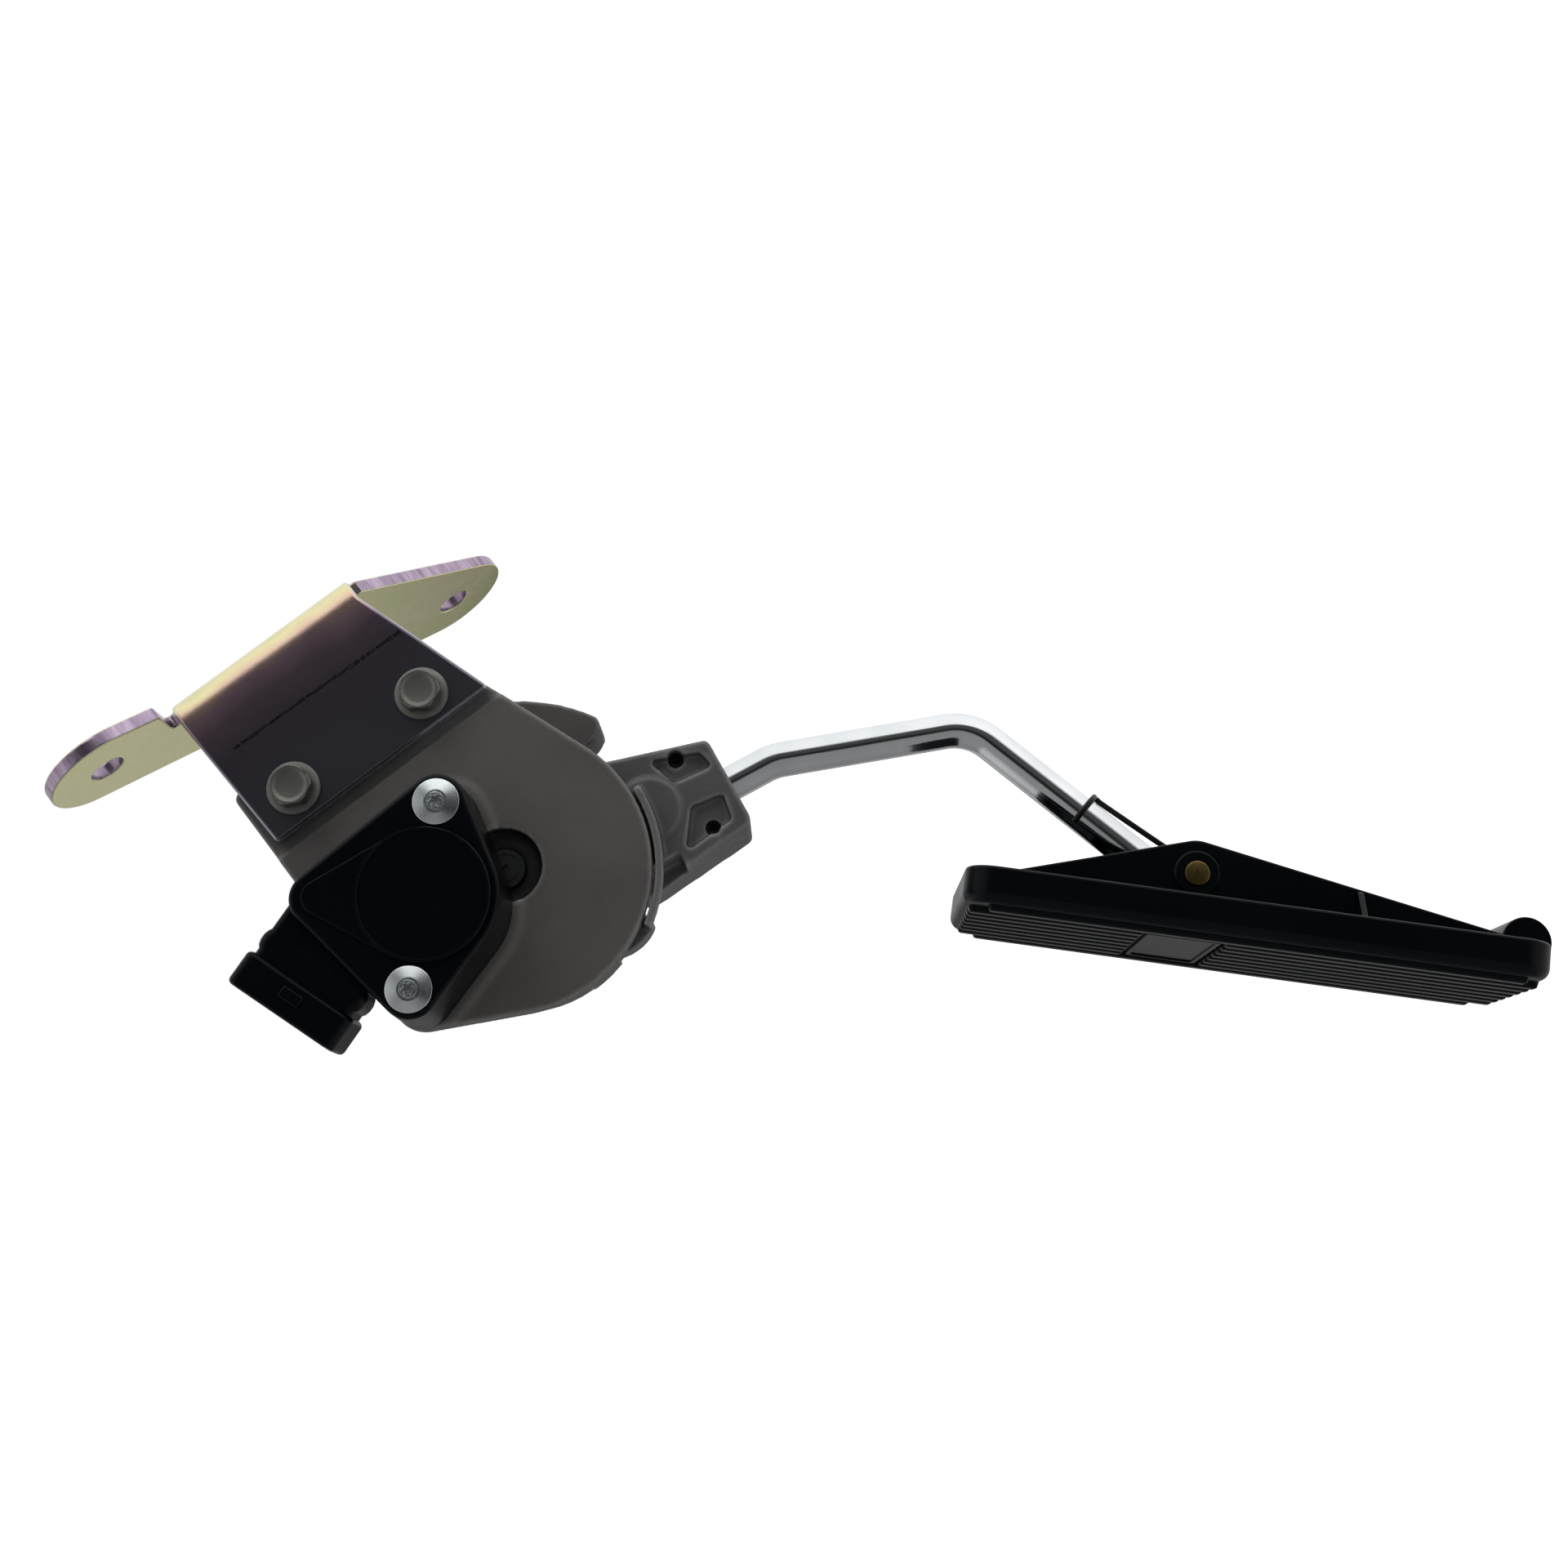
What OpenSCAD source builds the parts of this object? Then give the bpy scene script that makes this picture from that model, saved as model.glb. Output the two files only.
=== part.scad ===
// Suspended electronic throttle pedal.
// Origin: midway between the two mounting holes, on the outer face of the bracket's flange.
// +Y leaves the flange towards the wall that it is bolted to, +Z is up along the flange,
// +X is the side of the position sensor. The pedal hangs down and towards the driver, -Y.

/* [Mounting bracket] */
// Thickness of the pressed sheet
sheet_t = 4; // [3:0.1:4.5]
// Inner radius of the bend between flange and leg
bend_inner_r = 4; // [3:0.1:4.5]
// Outer face of the leg, measured from the mounting holes' centre
leg_face_x = 32; // [31.5:0.1:33]
// Reach of the leg from the flange's outer face
leg_reach = 48; // [47:0.1:49.5]
// Half height of the leg at the bend
leg_bend_half = 28; // [26:0.1:29]
// Distance between the mounting holes across the flange
hole_spacing_x = 55; // [53:0.1:56]
// Distance between the mounting holes along the flange
hole_spacing_z = 100; // [96:0.1:110]
// Diameter of the mounting holes
mount_hole_d = 9; // [7:0.1:11]
// Radius of the ears round the mounting holes
ear_r = 16.2; // [13:0.1:17.5]

/* [Bracket bolts] */
// Thread diameter of the two bolts through the leg
bolt_d = 6; // [5:0.1:7]
// Distance between the two bolts
bolt_spacing = 40.4; // [36:0.1:43]
// Width across flats of the bolt heads
bolt_flats = 10; // [8:0.1:11]
// Diameter of the bolts' washer flanges
bolt_flange_d = 14; // [12:0.1:15]

/* [Housing] */
// Drop of the pivot below the flange's outer face, towards the driver
pivot_drop = 88.5; // [88:0.1:89.5]
// Height of the pivot below the mounting holes' centre
pivot_low = 15.4; // [15:0.1:15.8]
// Radius of the round side plate
disc_r = 37.6; // [37:0.1:37.7]
// Thickness of the side plate
plate_t = 5; // [4.4:0.1:5.2]
// Outer radius of the drum behind the side plate
drum_r = 33; // [32.6:0.1:33.2]
// Wall of the drum
drum_wall = 3.6; // [3:0.1:3.8]
// Inner width of the drum along the pivot
drum_depth = 34; // [33.8:0.1:36]
// Thickness of the cover
cover_t = 4; // [3:0.1:5]
// Radius of the round pocket at the shaft's end
pocket_r = 9.6; // [8.5:0.1:10.2]

/* [Pivot] */
// Diameter of the pivot shaft
shaft_d = 10; // [9:0.1:10.4]
// Wall of the bearing bushes
bush_wall = 1.45; // [1.2:0.05:1.6]
// Radial running clearance of every shaft and pin
run_gap = 0.05; // [0.02:0.01:0.08]
// Travel of the pedal in degrees
pedal_travel = 18; // [15:0.5:18]

/* [Lever and rod] */
// Angle of the clamp's axis from straight down towards the driver
arm_angle = 9.2; // [8.8:0.1:9.6]
// Distance of the lever's end face from the pivot
arm_length = 61.2; // [60:0.1:64]
// Thickness of the lever's clamp along the pivot
arm_t = 27; // [26:0.1:27.2]
// Diameter of the rod
rod_d = 9.5; // [8:0.1:10]
// First bend of the rod in degrees
rod_bend_1 = 19; // [17:0.5:20]
// Second bend of the rod in degrees
rod_bend_2 = 49.3; // [48:0.1:51]
// Radius of the rod's bends, at its centre line
rod_bend_r = 15; // [12:0.5:18]
// Diameter of the clamp screws
clamp_screw_d = 4; // [3:0.1:4.5]

/* [Pad] */
// Length of the pad
pad_length = 148; // [140:0.5:156]
// Width of the pad
pad_width = 60; // [56:0.5:64]
// Height of the pad's skirt
skirt_h = 9.5; // [9:0.1:10.5]
// Number of ridges on the pad's face
ridge_count = 9; // [7:1:10]
// Height of the ridges
ridge_h = 1.4; // [0.8:0.1:1.8]
// Clear width between the pad's two ears
ear_gap = 24; // [23:0.1:26]
// Diameter of the pad's hinge pin
pin_d = 6.9; // [6:0.1:7.2]
// Travel of the pad in degrees
pad_travel = 20; // [15:1:20]

/* [Sensor] */
// Height of the sensor above its seat
sensor_h = 22; // [21:0.1:24]
// Distance between the sensor's two screws
sensor_screw_spacing = 46.6; // [46:0.1:47]
// Diameter of the sensor screws' heads
sensor_head_d = 12.5; // [11:0.1:13]
// Width of the connector's shroud
plug_width = 30; // [28:0.1:31]

/* [Hidden] */
$fn = 64;
eps = 0.01;

// Terminals side by side in the connector.
terminals_in_row = 3;

// Gears between lever and sensor: module, teeth of the sector's full circle, teeth of the pinion.
gear_module = 0.9;
sector_teeth = 34;
pinion_teeth = 10;

// Planes along the pivot, from the sensor's side to the far side.
seat_x = leg_face_x - sheet_t;
seat_step = 1;
plate_x = seat_x + seat_step;
plate_back_x = plate_x - plate_t;
cover_x = plate_back_x - drum_depth;
mid_x = plate_back_x - 16;
sensor_seat_h = 0.8;
sensor_x = plate_x + sensor_seat_h;

// Pivot, clamp and rod in the plane of the pedal.
pivot_y = -pivot_drop;
pivot_z = -pivot_low;
arm_turn = -90 - arm_angle;
rod_v = -4.4;
rod_start_u = 33;
rod_bend_u = 75.4;
rod_mid_length = 53.6;
pin_offset = 3.1;

// Housing outline: centres in Y and Z with their radii, anticlockwise.
top_y = -30;
left_z = 29;
screw_angle = 135.8;
sensor_angle = 83.6;
gear_distance = gear_module * (sector_teeth + pinion_teeth) / 2;
sensor_y = pivot_y + gear_distance * cos(sensor_angle);
sensor_z = pivot_z + gear_distance * sin(sensor_angle);
function screw_at(side) = [
    sensor_y + side * sensor_screw_spacing / 2 * cos(screw_angle),
    sensor_z + side * sensor_screw_spacing / 2 * sin(screw_angle)
];
screw_boss_r = 7.7;
plug_lobe = [-70.8, 25.2];
bolt_y = -leg_reach + 8.6;
bolt_z = -5.4;

// Running clearances and seats.
side_gap = 0.1;
stop_gap = 0.5;
washer_t = 1.1;
hub_r = 11;
bush_r = shaft_d / 2 + run_gap + bush_wall;
bush_length = 12;

// Limits of the lever's mouth in the drum, from straight down: towards the wall and the driver.
mouth_front = 38;
mouth_back = 77;
guard_end = 75.2;

// Draws a profile given in Y and Z and carries it along X.
module along_x(x0, x1) {
    translate([x0, 0, 0]) rotate([90, 0, 90]) linear_extrude(x1 - x0) children();
}

// Round bar along X.
module bar_x(r, x0, x1, at = [0, 0]) {
    translate([x0, at[0], at[1]]) rotate([0, 90, 0]) cylinder(r = r, h = x1 - x0);
}

// Ring along X.
module ring_x(r_out, r_in, x0, x1, at = [0, 0]) {
    difference() {
        bar_x(r_out, x0, x1, at);
        bar_x(r_in, x0 - 1, x1 + 1, at);
    }
}

// Outward direction of the straight edge from one corner circle to the next.
function edge_normal(a, b) =
    let (d = [b[0] - a[0], b[1] - a[1]], turn = atan2(d[1], d[0]) - acos((a[2] - b[2]) / norm(d)))
    [cos(turn), sin(turn)];

// Ends of the straight edge from circle a to circle b, a hair inside the common tangent,
// so that every edge crosses the circles it joins.
tangent_inset = 0.004;
function edge_points(a, b) =
    let (n = edge_normal(a, b), ra = a[2] - tangent_inset, rb = b[2] - tangent_inset)
    [[a[0] + ra * n[0], a[1] + ra * n[1]], [b[0] + rb * n[0], b[1] + rb * n[1]]];

// Outline round a list of corner circles [y, z, r], listed anticlockwise, with straight edges.
module rounded_outline(corners) {
    last = len(corners) - 1;
    polygon([
        for (i = [0 : last])
            for (p = edge_points(corners[i], corners[i == last ? 0 : i + 1])) p
    ]);
    for (c = corners) translate([c[0], c[1]]) circle(r = c[2]);
}

// The same corners with every radius grown or shrunk by one step.
function grown(corners, step) = [for (c = corners) [c[0], c[1], max(c[2] + step, 0.2)]];

// Slice of a ring between two angles, counted from straight down towards the driver.
module ring_slice(r_in, r_out, from, to) {
    steps = 8;
    reach = r_out * 1.6;
    intersection() {
        difference() {
            circle(r = r_out);
            circle(r = r_in);
        }
        polygon(concat([[0, 0]], [
            for (i = [0 : steps])
                let (a = 270 - from - (to - from) * i / steps) [reach * cos(a), reach * sin(a)]
        ]));
    }
}

// Tube of a bent wire: rings of points carried along the path without twist.
function unit(v) = v / norm(v);
function path_tangent(path, i) = unit(path[min(i + 1, len(path) - 1)] - path[max(i - 1, 0)]);
function carry(n, t) = unit(n - (n * t) * t);
function wire_normals(path, start) = [
    for (i = 0, n = carry(start, path_tangent(path, 0)); i < len(path);
         i = i + 1, n = carry(n, path_tangent(path, i))) n
];
module wire(path, r, start, sides = 8) {
    normals = wire_normals(path, start);
    count = len(path);
    points = [
        for (i = [0 : count - 1])
            let (n = normals[i], b = cross(path_tangent(path, i), n))
                for (k = [0 : sides - 1])
                    path[i] + r * (cos(360 * k / sides) * n + sin(360 * k / sides) * b)
    ];
    skin = [
        for (i = [0 : count - 2])
            for (k = [0 : sides - 1])
                let (j = (k + 1) % sides)
                    [i * sides + k, i * sides + j, (i + 1) * sides + j, (i + 1) * sides + k]
    ];
    polyhedron(
        points = points,
        faces = concat(
            skin,
            [[for (k = [sides - 1 : -1 : 0]) k]],
            [[for (k = [0 : sides - 1]) (count - 1) * sides + k]]
        )
    );
}

// Coil round an axis along X: angles run from the first to the last, X from x0 to x1.
function coil(r, x0, x1, a0, a1, step = 20) =
    let (count = ceil(abs(a1 - a0) / step))
    [
        for (i = [0 : count])
            let (a = a0 + (a1 - a0) * i / count)
                [x0 + (x1 - x0) * i / count, r * cos(a), r * sin(a)]
    ];

// Puts a shape drawn about the pivot at the pivot.
module at_pivot() {
    translate([0, pivot_y, pivot_z]) children();
}

// Puts a profile drawn with the arm along its first axis in the Y and Z plane.
module arm_frame() {
    translate([pivot_y, pivot_z]) rotate(arm_turn) children();
}

// Place in Y and Z of a point given along and across the arm.
function on_arm(u, v) = [
    pivot_y + u * cos(arm_turn) - v * sin(arm_turn),
    pivot_z + u * sin(arm_turn) + v * cos(arm_turn)
];

// Mounting bracket.
flange_half = leg_bend_half;
bend_outer_r = bend_inner_r + sheet_t;
relief_w = 3;
relief_depth = 9;

module flange_profile() {
    difference() {
        union() {
            rounded_outline([
                [hole_spacing_x / 2, hole_spacing_z / 2, ear_r],
                [-hole_spacing_x / 2, -hole_spacing_z / 2, ear_r]
            ]);
            rounded_outline([
                [leg_face_x - bend_outer_r + 1, flange_half - 0.5, 0.5],
                [-hole_spacing_x / 2, -hole_spacing_z / 2, ear_r],
                [leg_face_x - bend_outer_r + 1, -flange_half + 0.5, 0.5]
            ]);
        }
        for (side = [-1, 1])
            translate([side * hole_spacing_x / 2, side * hole_spacing_z / 2]) circle(d = mount_hole_d);
        translate([leg_face_x - relief_depth, flange_half]) square([30, relief_w]);
        translate([leg_face_x - bend_outer_r, -flange_half]) square([30, 2 * flange_half]);
        translate([leg_face_x - relief_depth, -flange_half - 20]) square([30, 20]);
    }
}

leg_corner_r = 1.2;
leg_lower_edge = 40;
leg_upper_edge = 26.4;

module leg_profile() {
    difference() {
        rounded_outline([
            [-bend_outer_r + leg_corner_r, flange_half - leg_corner_r, leg_corner_r],
            [-leg_reach + leg_corner_r, leg_upper_edge - leg_corner_r, leg_corner_r],
            [-leg_reach + leg_corner_r, -leg_lower_edge + leg_corner_r, leg_corner_r],
            [-bend_outer_r + leg_corner_r, -flange_half + leg_corner_r, leg_corner_r]
        ]);
        translate([-bend_outer_r, -60]) square([30, 120]);
        for (side = [-1, 1])
            translate([bolt_y, bolt_z + side * bolt_spacing / 2]) circle(d = bolt_d + 0.6);
    }
}

module mounting_bracket() {
    color([0.75, 0.72, 0.55]) {
        translate([0, -sheet_t, 0]) rotate([-90, 0, 0]) mirror([0, 1, 0])
            linear_extrude(sheet_t) flange_profile();
        along_x(seat_x, leg_face_x) leg_profile();
        translate([leg_face_x - bend_outer_r, -bend_outer_r, -flange_half])
            rotate_extrude(angle = 90) translate([bend_inner_r, 0]) square([sheet_t, 2 * flange_half]);
    }
}

// Hex flange bolts of the bracket.
bolt_flange_t = 1.5;
bolt_head_h = 5.6;
bolt_length = 16;

module bracket_bolt(side) {
    at = [bolt_y, bolt_z + side * bolt_spacing / 2];
    color([0.72, 0.71, 0.68]) difference() {
        union() {
            bar_x(bolt_flange_d / 2, leg_face_x, leg_face_x + bolt_flange_t, at);
            translate([leg_face_x, at[0], at[1]]) rotate([0, 90, 0]) rotate([0, 0, 12])
                cylinder(d = bolt_flats / cos(30), h = bolt_head_h, $fn = 6);
            bar_x(bolt_d / 2, leg_face_x - bolt_length, leg_face_x + 1, at);
        }
        bar_x(bolt_flats / 2 - 1.1, leg_face_x + bolt_head_h - 0.6, leg_face_x + bolt_head_h + 1, at);
    }
}

// Housing: side plate, drum with the lever's mouth, bolt block and stops.
plate_corners = [
    [top_y - 2, left_z - 2, 2],
    [-60, left_z - 8, 8],
    [screw_at(1)[0], screw_at(1)[1], screw_boss_r + 0.3],
    [pivot_y, pivot_z, disc_r],
    [top_y - 3, -32.5, 3]
];
body_corners = [
    [top_y - 5, 23, 3],
    [-60, 19, 6],
    [-97, pivot_z + drum_r - 2.6, 6],
    [pivot_y, pivot_z, drum_r],
    [top_y - 6, -28.5, 4]
];
sensor_corners = [
    [screw_at(-1)[0], screw_at(-1)[1], screw_boss_r],
    [plug_lobe[0], plug_lobe[1], 7.4],
    [screw_at(1)[0], screw_at(1)[1], screw_boss_r],
    [sensor_y, sensor_z, 19.3]
];
lobe_r = 49.6;
lobe_face = 24.7;
tip_cut = 2.2;
bolt_hole_end_x = 10;
rotor_hole_r = 6.4;
seat_line = 2.6;

module drum_section() {
    difference() {
        rounded_outline(body_corners);
        translate([pivot_y, pivot_z]) {
            circle(r = drum_r - drum_wall);
            ring_slice(20, 62, -mouth_front, mouth_back);
        }
    }
}

module lobe_profile() {
    translate([pivot_y, pivot_z]) difference() {
        ring_slice(drum_r - 1, lobe_r, -64, -lobe_face);
        rotate(-90 + lobe_face) {
            translate([lobe_r - tip_cut, 0]) rotate(-45) square([20, 20]);
            polygon([[lobe_r - 5, -0.1], [drum_r - 3, -2], [drum_r - 3, 3.6]]);
        }
    }
}

module pedal_housing() {
    color([0.46, 0.44, 0.42]) difference() {
        union() {
            along_x(plate_back_x, plate_x) rounded_outline(plate_corners);
            along_x(plate_x - 1, sensor_x) intersection() {
                rounded_outline(grown(sensor_corners, 2.2));
                rounded_outline(grown(plate_corners, -0.4));
            }
            along_x(cover_x, plate_back_x) drum_section();
            along_x(cover_x, mid_x - 1) lobe_profile();
            along_x(plate_back_x - 9, plate_back_x) translate([pivot_y, pivot_z])
                ring_slice(drum_r - drum_wall, disc_r - 0.3, guard_end + stop_gap, 92);
        }
        translate([seat_x, -leg_reach - seat_line, -60]) cube([5, 60, 120]);
        bar_x(pocket_r, plate_x - 3, plate_x + 2, [pivot_y + 0.6, pivot_z - 0.2]);
        bar_x(shaft_d / 2, plate_back_x - 1, plate_x, [pivot_y, pivot_z]);
        bar_x(rotor_hole_r, plate_back_x - 1, sensor_x + 1, [sensor_y, sensor_z]);
        for (side = [-1, 1]) {
            bar_x(bolt_d / 2, bolt_hole_end_x, seat_x + 1, [bolt_y, bolt_z + side * bolt_spacing / 2]);
            bar_x(sensor_screw_d / 2, plate_back_x + 0.4, sensor_x + 1, screw_at(side));
        }
        for (at = cover_screws) bar_x(cover_screw_d / 2, cover_x - 1, cover_x + 10, at);
    }
}

// Cover of the far side.
cover_screw_d = 4;
cover_head_d = 7.4;
cover_screws = [
    [top_y - 8, 17.5], [top_y - 8, -24], [-72, 19.5], [-99.5, 13.4]
];

module housing_cover() {
    color([0.42, 0.41, 0.39]) difference() {
        union() {
            along_x(cover_x - cover_t, cover_x) rounded_outline(grown(body_corners, -0.4));
            bar_x(hub_r - 1, cover_x - cover_t - 2, cover_x, [pivot_y, pivot_z]);
            for (turn = [0 : 60 : 300]) at_pivot() rotate([turn, 0, 0])
                translate([cover_x - cover_t - 1.2, hub_r - 3, -1]) cube([2.2, 19, 2]);
        }
        bar_x(shaft_d / 2, cover_x - cover_t - 3, cover_x + 1, [pivot_y, pivot_z]);
        for (at = cover_screws) bar_x(cover_screw_d / 2 + 0.2, cover_x - cover_t - 1, cover_x + 1, at);
    }
}

module cover_screw(at) {
    head_x = cover_x - cover_t;
    color([0.7, 0.7, 0.72]) difference() {
        union() {
            bar_x(cover_head_d / 2, head_x - 2.2, head_x, at);
            bar_x(cover_screw_d / 2, head_x - 1, cover_x + 9, at);
        }
        translate([head_x - 3, at[0], at[1]]) rotate([0, 90, 0]) cylinder(d = 3, h = 2, $fn = 6);
    }
}

// Pivot shaft, its bushes and thrust washers.
module pivot_shaft() {
    end_x = plate_x - 1.4;
    color([0.6, 0.6, 0.62]) difference() {
        bar_x(shaft_d / 2, cover_x - cover_t - 2, end_x, [pivot_y, pivot_z]);
        ring_x(shaft_d / 2 - 1.1, shaft_d / 2 - 1.8, end_x - 0.4, end_x + 1, [pivot_y, pivot_z]);
        bar_x(0.9, end_x - 0.8, end_x + 1, [pivot_y, pivot_z]);
    }
}

hub_near_x = plate_back_x - washer_t - side_gap;
hub_far_x = cover_x + washer_t + side_gap;

module hub_bush(x0) {
    color([0.62, 0.5, 0.3])
        ring_x(bush_r, shaft_d / 2 + run_gap, x0, x0 + bush_length, [pivot_y, pivot_z]);
}

module thrust_washer(x0) {
    color([0.85, 0.83, 0.76])
        ring_x(hub_r - 0.6, shaft_d / 2 + run_gap, x0, x0 + washer_t, [pivot_y, pivot_z]);
}

// Torsion springs round the hub: a coil with a leg at each end.
spring_outer_r = 20.5;
spring_outer_wire = 2.4;
spring_inner_r = 14.6;
spring_inner_wire = 2;
spring_gap = 0.3;
coil_gap = 0.25;
spring_leg = 4;
web_far_x = mid_x - 4;
tab_angle = 60;
tab_reach = 4.4;

module return_spring(r, wire_d, turns) {
    first_x = cover_x + wire_d / 2 + spring_gap;
    last_x = first_x + turns * (wire_d + coil_gap);
    rest = 270 - tab_angle;
    body = coil(r, first_x, last_x, rest - 360 * turns - 20, rest, 22);
    first = body[0];
    last = body[len(body) - 1];
    out_first = unit([0, first[1], first[2]]);
    out_last = unit([0, last[1], last[2]]);
    path = concat([first + spring_leg * out_first], body, [last + spring_leg * out_last]);
    color([0.3, 0.31, 0.33]) at_pivot() wire(path, wire_d / 2, [1, 0, 0]);
}

// Gear teeth: flank angle at a radius, from the base circle of a 20 degree involute.
pressure = 20;
shift = 0.41;
flank_play = 0.05;
function roll(r_base, r) =
    let (a = r <= r_base ? 0 : acos(r_base / r)) tan(a) - a * PI / 180;
function tooth_half(teeth, shift_by, r) =
    let (r_base = gear_module * teeth / 2 * cos(pressure))
    180 / PI * ((PI / 2 + 2 * shift_by * tan(pressure)) / teeth
        + roll(r_base, gear_module * teeth / 2) - roll(r_base, r) - flank_play / r);
function tooth_points(teeth, shift_by, at, steps = 4) =
    let (
        r_root = gear_module * (teeth / 2 - 1.25 + shift_by),
        r_tip = gear_module * (teeth / 2 + 1 + shift_by)
    )
    concat(
        [for (i = [0 : steps]) let (r = r_root + (r_tip - r_root) * i / steps,
            a = at - tooth_half(teeth, shift_by, r)) [r * cos(a), r * sin(a)]],
        [for (i = [steps : -1 : 0]) let (r = r_root + (r_tip - r_root) * i / steps,
            a = at + tooth_half(teeth, shift_by, r)) [r * cos(a), r * sin(a)]]
    );

sector_first = -4;
sector_last = 2;
sector_x0 = plate_back_x - 8;
sector_x1 = plate_back_x - 2;

module gear_sector() {
    pitch = 360 / sector_teeth;
    teeth = [
        for (k = [sector_first : sector_last])
            for (p = tooth_points(sector_teeth, -shift, sensor_angle + k * pitch)) p
    ];
    polygon(concat([[0, 0]], teeth));
}

module pinion_profile() {
    polygon([
        for (k = [0 : pinion_teeth - 1])
            for (p = tooth_points(pinion_teeth, shift, sensor_angle + 180 + (k + 0.5) * 360 / pinion_teeth)) p
    ]);
}

// Lever: hub, web, clamp block, gear sector, guard lip and spring tab.
arm_near_x = plate_back_x - 1.9;
arm_far_x = arm_near_x - arm_t;
lip_r = 38.3;
guard_r = 40.4;
screw_u = arm_length - 9.1;
screw_v = 10.4;
arm_boss_r = 8.3;
block_corners = [
    [arm_length - 1.2, 4.9, 1.8],
    [35.5, 11.8, 2],
    [30, -18, 4],
    [arm_length - 1.8, -16.6, 2.4]
];
upper_pocket = [
    [arm_length - 3.6, 3.6, 0.9],
    [arm_length - 14.2, 7.2, 0.9],
    [arm_length - 11.8, 1, 0.9],
    [arm_length - 2.8, 0.4, 0.9]
];
upper_pocket_depth = 3;
lower_pocket = [
    [arm_length - 3.8, -9.2, 0.9],
    [arm_length - 11.2, -8.4, 0.9],
    [arm_length - 16.6, -16.2, 0.9],
    [arm_length - 4.6, -14.6, 0.9]
];
lower_pocket_depth = 2.6;
clamp_slit = 1;
corner_cut = [26, -30, 15, 13.2];
corner_cut_depth = 10;
land_gap = 0.5;

module lever() {
    color([0.5, 0.49, 0.47]) difference() {
        union() {
            ring_x(hub_r, bush_r, hub_far_x, hub_near_x, [pivot_y, pivot_z]);
            along_x(web_far_x, sector_x0 + 1) difference() {
                arm_frame() rounded_outline([[0, 0, hub_r + 2], [34, -13, 8], [34, 5, 7]]);
                translate([pivot_y, pivot_z]) circle(r = hub_r - 1);
            }
            along_x(arm_far_x, arm_near_x) arm_frame() rounded_outline(block_corners);
            along_x(arm_near_x - 1, arm_near_x + 1) arm_frame() translate([39.8, -3]) circle(r = arm_boss_r);
            along_x(sector_x0, sector_x1) difference() {
                translate([pivot_y, pivot_z]) gear_sector();
                translate([pivot_y, pivot_z]) circle(r = hub_r - 1);
            }
            along_x(arm_near_x - 6, arm_near_x) translate([pivot_y, pivot_z])
                ring_slice(drum_r + 0.6, guard_r, 5, guard_end);
            along_x(arm_near_x - 1, plate_x - 0.5) translate([pivot_y, pivot_z])
                ring_slice(lip_r, guard_r, 5, 60);
            along_x(web_far_x - tab_reach, web_far_x + 1) translate([pivot_y, pivot_z])
                ring_slice(hub_r - 1, 27, tab_angle - 14, tab_angle - 6);
        }
        along_x(arm_near_x - upper_pocket_depth, arm_near_x + 7) arm_frame() rounded_outline(upper_pocket);
        along_x(arm_near_x - lower_pocket_depth, arm_near_x + 7) arm_frame() rounded_outline(lower_pocket);
        along_x(arm_far_x - 1, arm_near_x + 1) arm_frame()
            for (side = [-1, 1]) translate([screw_u, rod_v + side * screw_v]) circle(d = clamp_screw_d);
        along_x(mid_x - clamp_slit / 2, mid_x + clamp_slit / 2) arm_frame()
            translate([rod_start_u + 3, -30]) square([40, 50]);
        aim(on_arm(rod_start_u, rod_v), arm_turn) cylinder(d = rod_d, h = 60);
        along_x(arm_near_x - corner_cut_depth, arm_near_x + 3) arm_frame()
            translate([corner_cut[0], corner_cut[1]]) square([corner_cut[2], corner_cut[3]]);
        // Land that meets the housing's lobe at full travel.
        along_x(arm_far_x - 1, mid_x) translate([pivot_y, pivot_z])
            ring_slice(drum_r - 1 - land_gap, lobe_r + land_gap, -64, -lobe_face + pedal_travel + stop_gap);
    }
}

// Socket screws of the rod clamp.
module clamp_screw(side) {
    at = on_arm(screw_u, rod_v + side * screw_v);
    head_x = arm_near_x - 3.6;
    color([0.12, 0.12, 0.13]) difference() {
        bar_x(clamp_screw_d / 2, arm_far_x + 2, head_x, at);
        translate([head_x - 1.8, at[0], at[1]]) rotate([0, 90, 0]) cylinder(d = 2.3, h = 3, $fn = 6);
    }
}

// Rod: straight runs and bends in the pedal's middle plane.
function heading(t) = [cos(t), sin(t)];
rod_turn_2 = arm_turn - rod_bend_1;
rod_turn_3 = rod_turn_2 - rod_bend_2;
bend_1_at = on_arm(rod_bend_u, rod_v);
bend_2_at = bend_1_at + rod_mid_length * heading(rod_turn_2);
pin_along = 70.5;
pin_at = bend_2_at + pin_along * heading(rod_turn_3) + pin_offset * heading(rod_turn_3 + 90);
sleeve_r = pin_d / 2 + run_gap + 2;
bend_draw = 0.04;

// Puts a shape that stands on Z at a place in the middle plane, pointing along an angle.
module aim(at, turn) {
    translate([mid_x, at[0], at[1]]) rotate([turn - 90, 0, 0]) children();
}

// Straight run that reaches a little into the bends next to it.
module straight(at, turn, length, before, after) {
    aim(at, turn) translate([0, 0, -before]) cylinder(d = rod_d, h = length + before + after);
}

// Bend whose centre line starts at a place, pointing along an angle.
module bend(at, turn, angle) {
    aim(at, turn) translate([0, rod_bend_r, 0]) rotate([90, 0, -90])
        rotate_extrude(angle = angle) translate([rod_bend_r, 0]) circle(d = rod_d - bend_draw);
}

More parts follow.
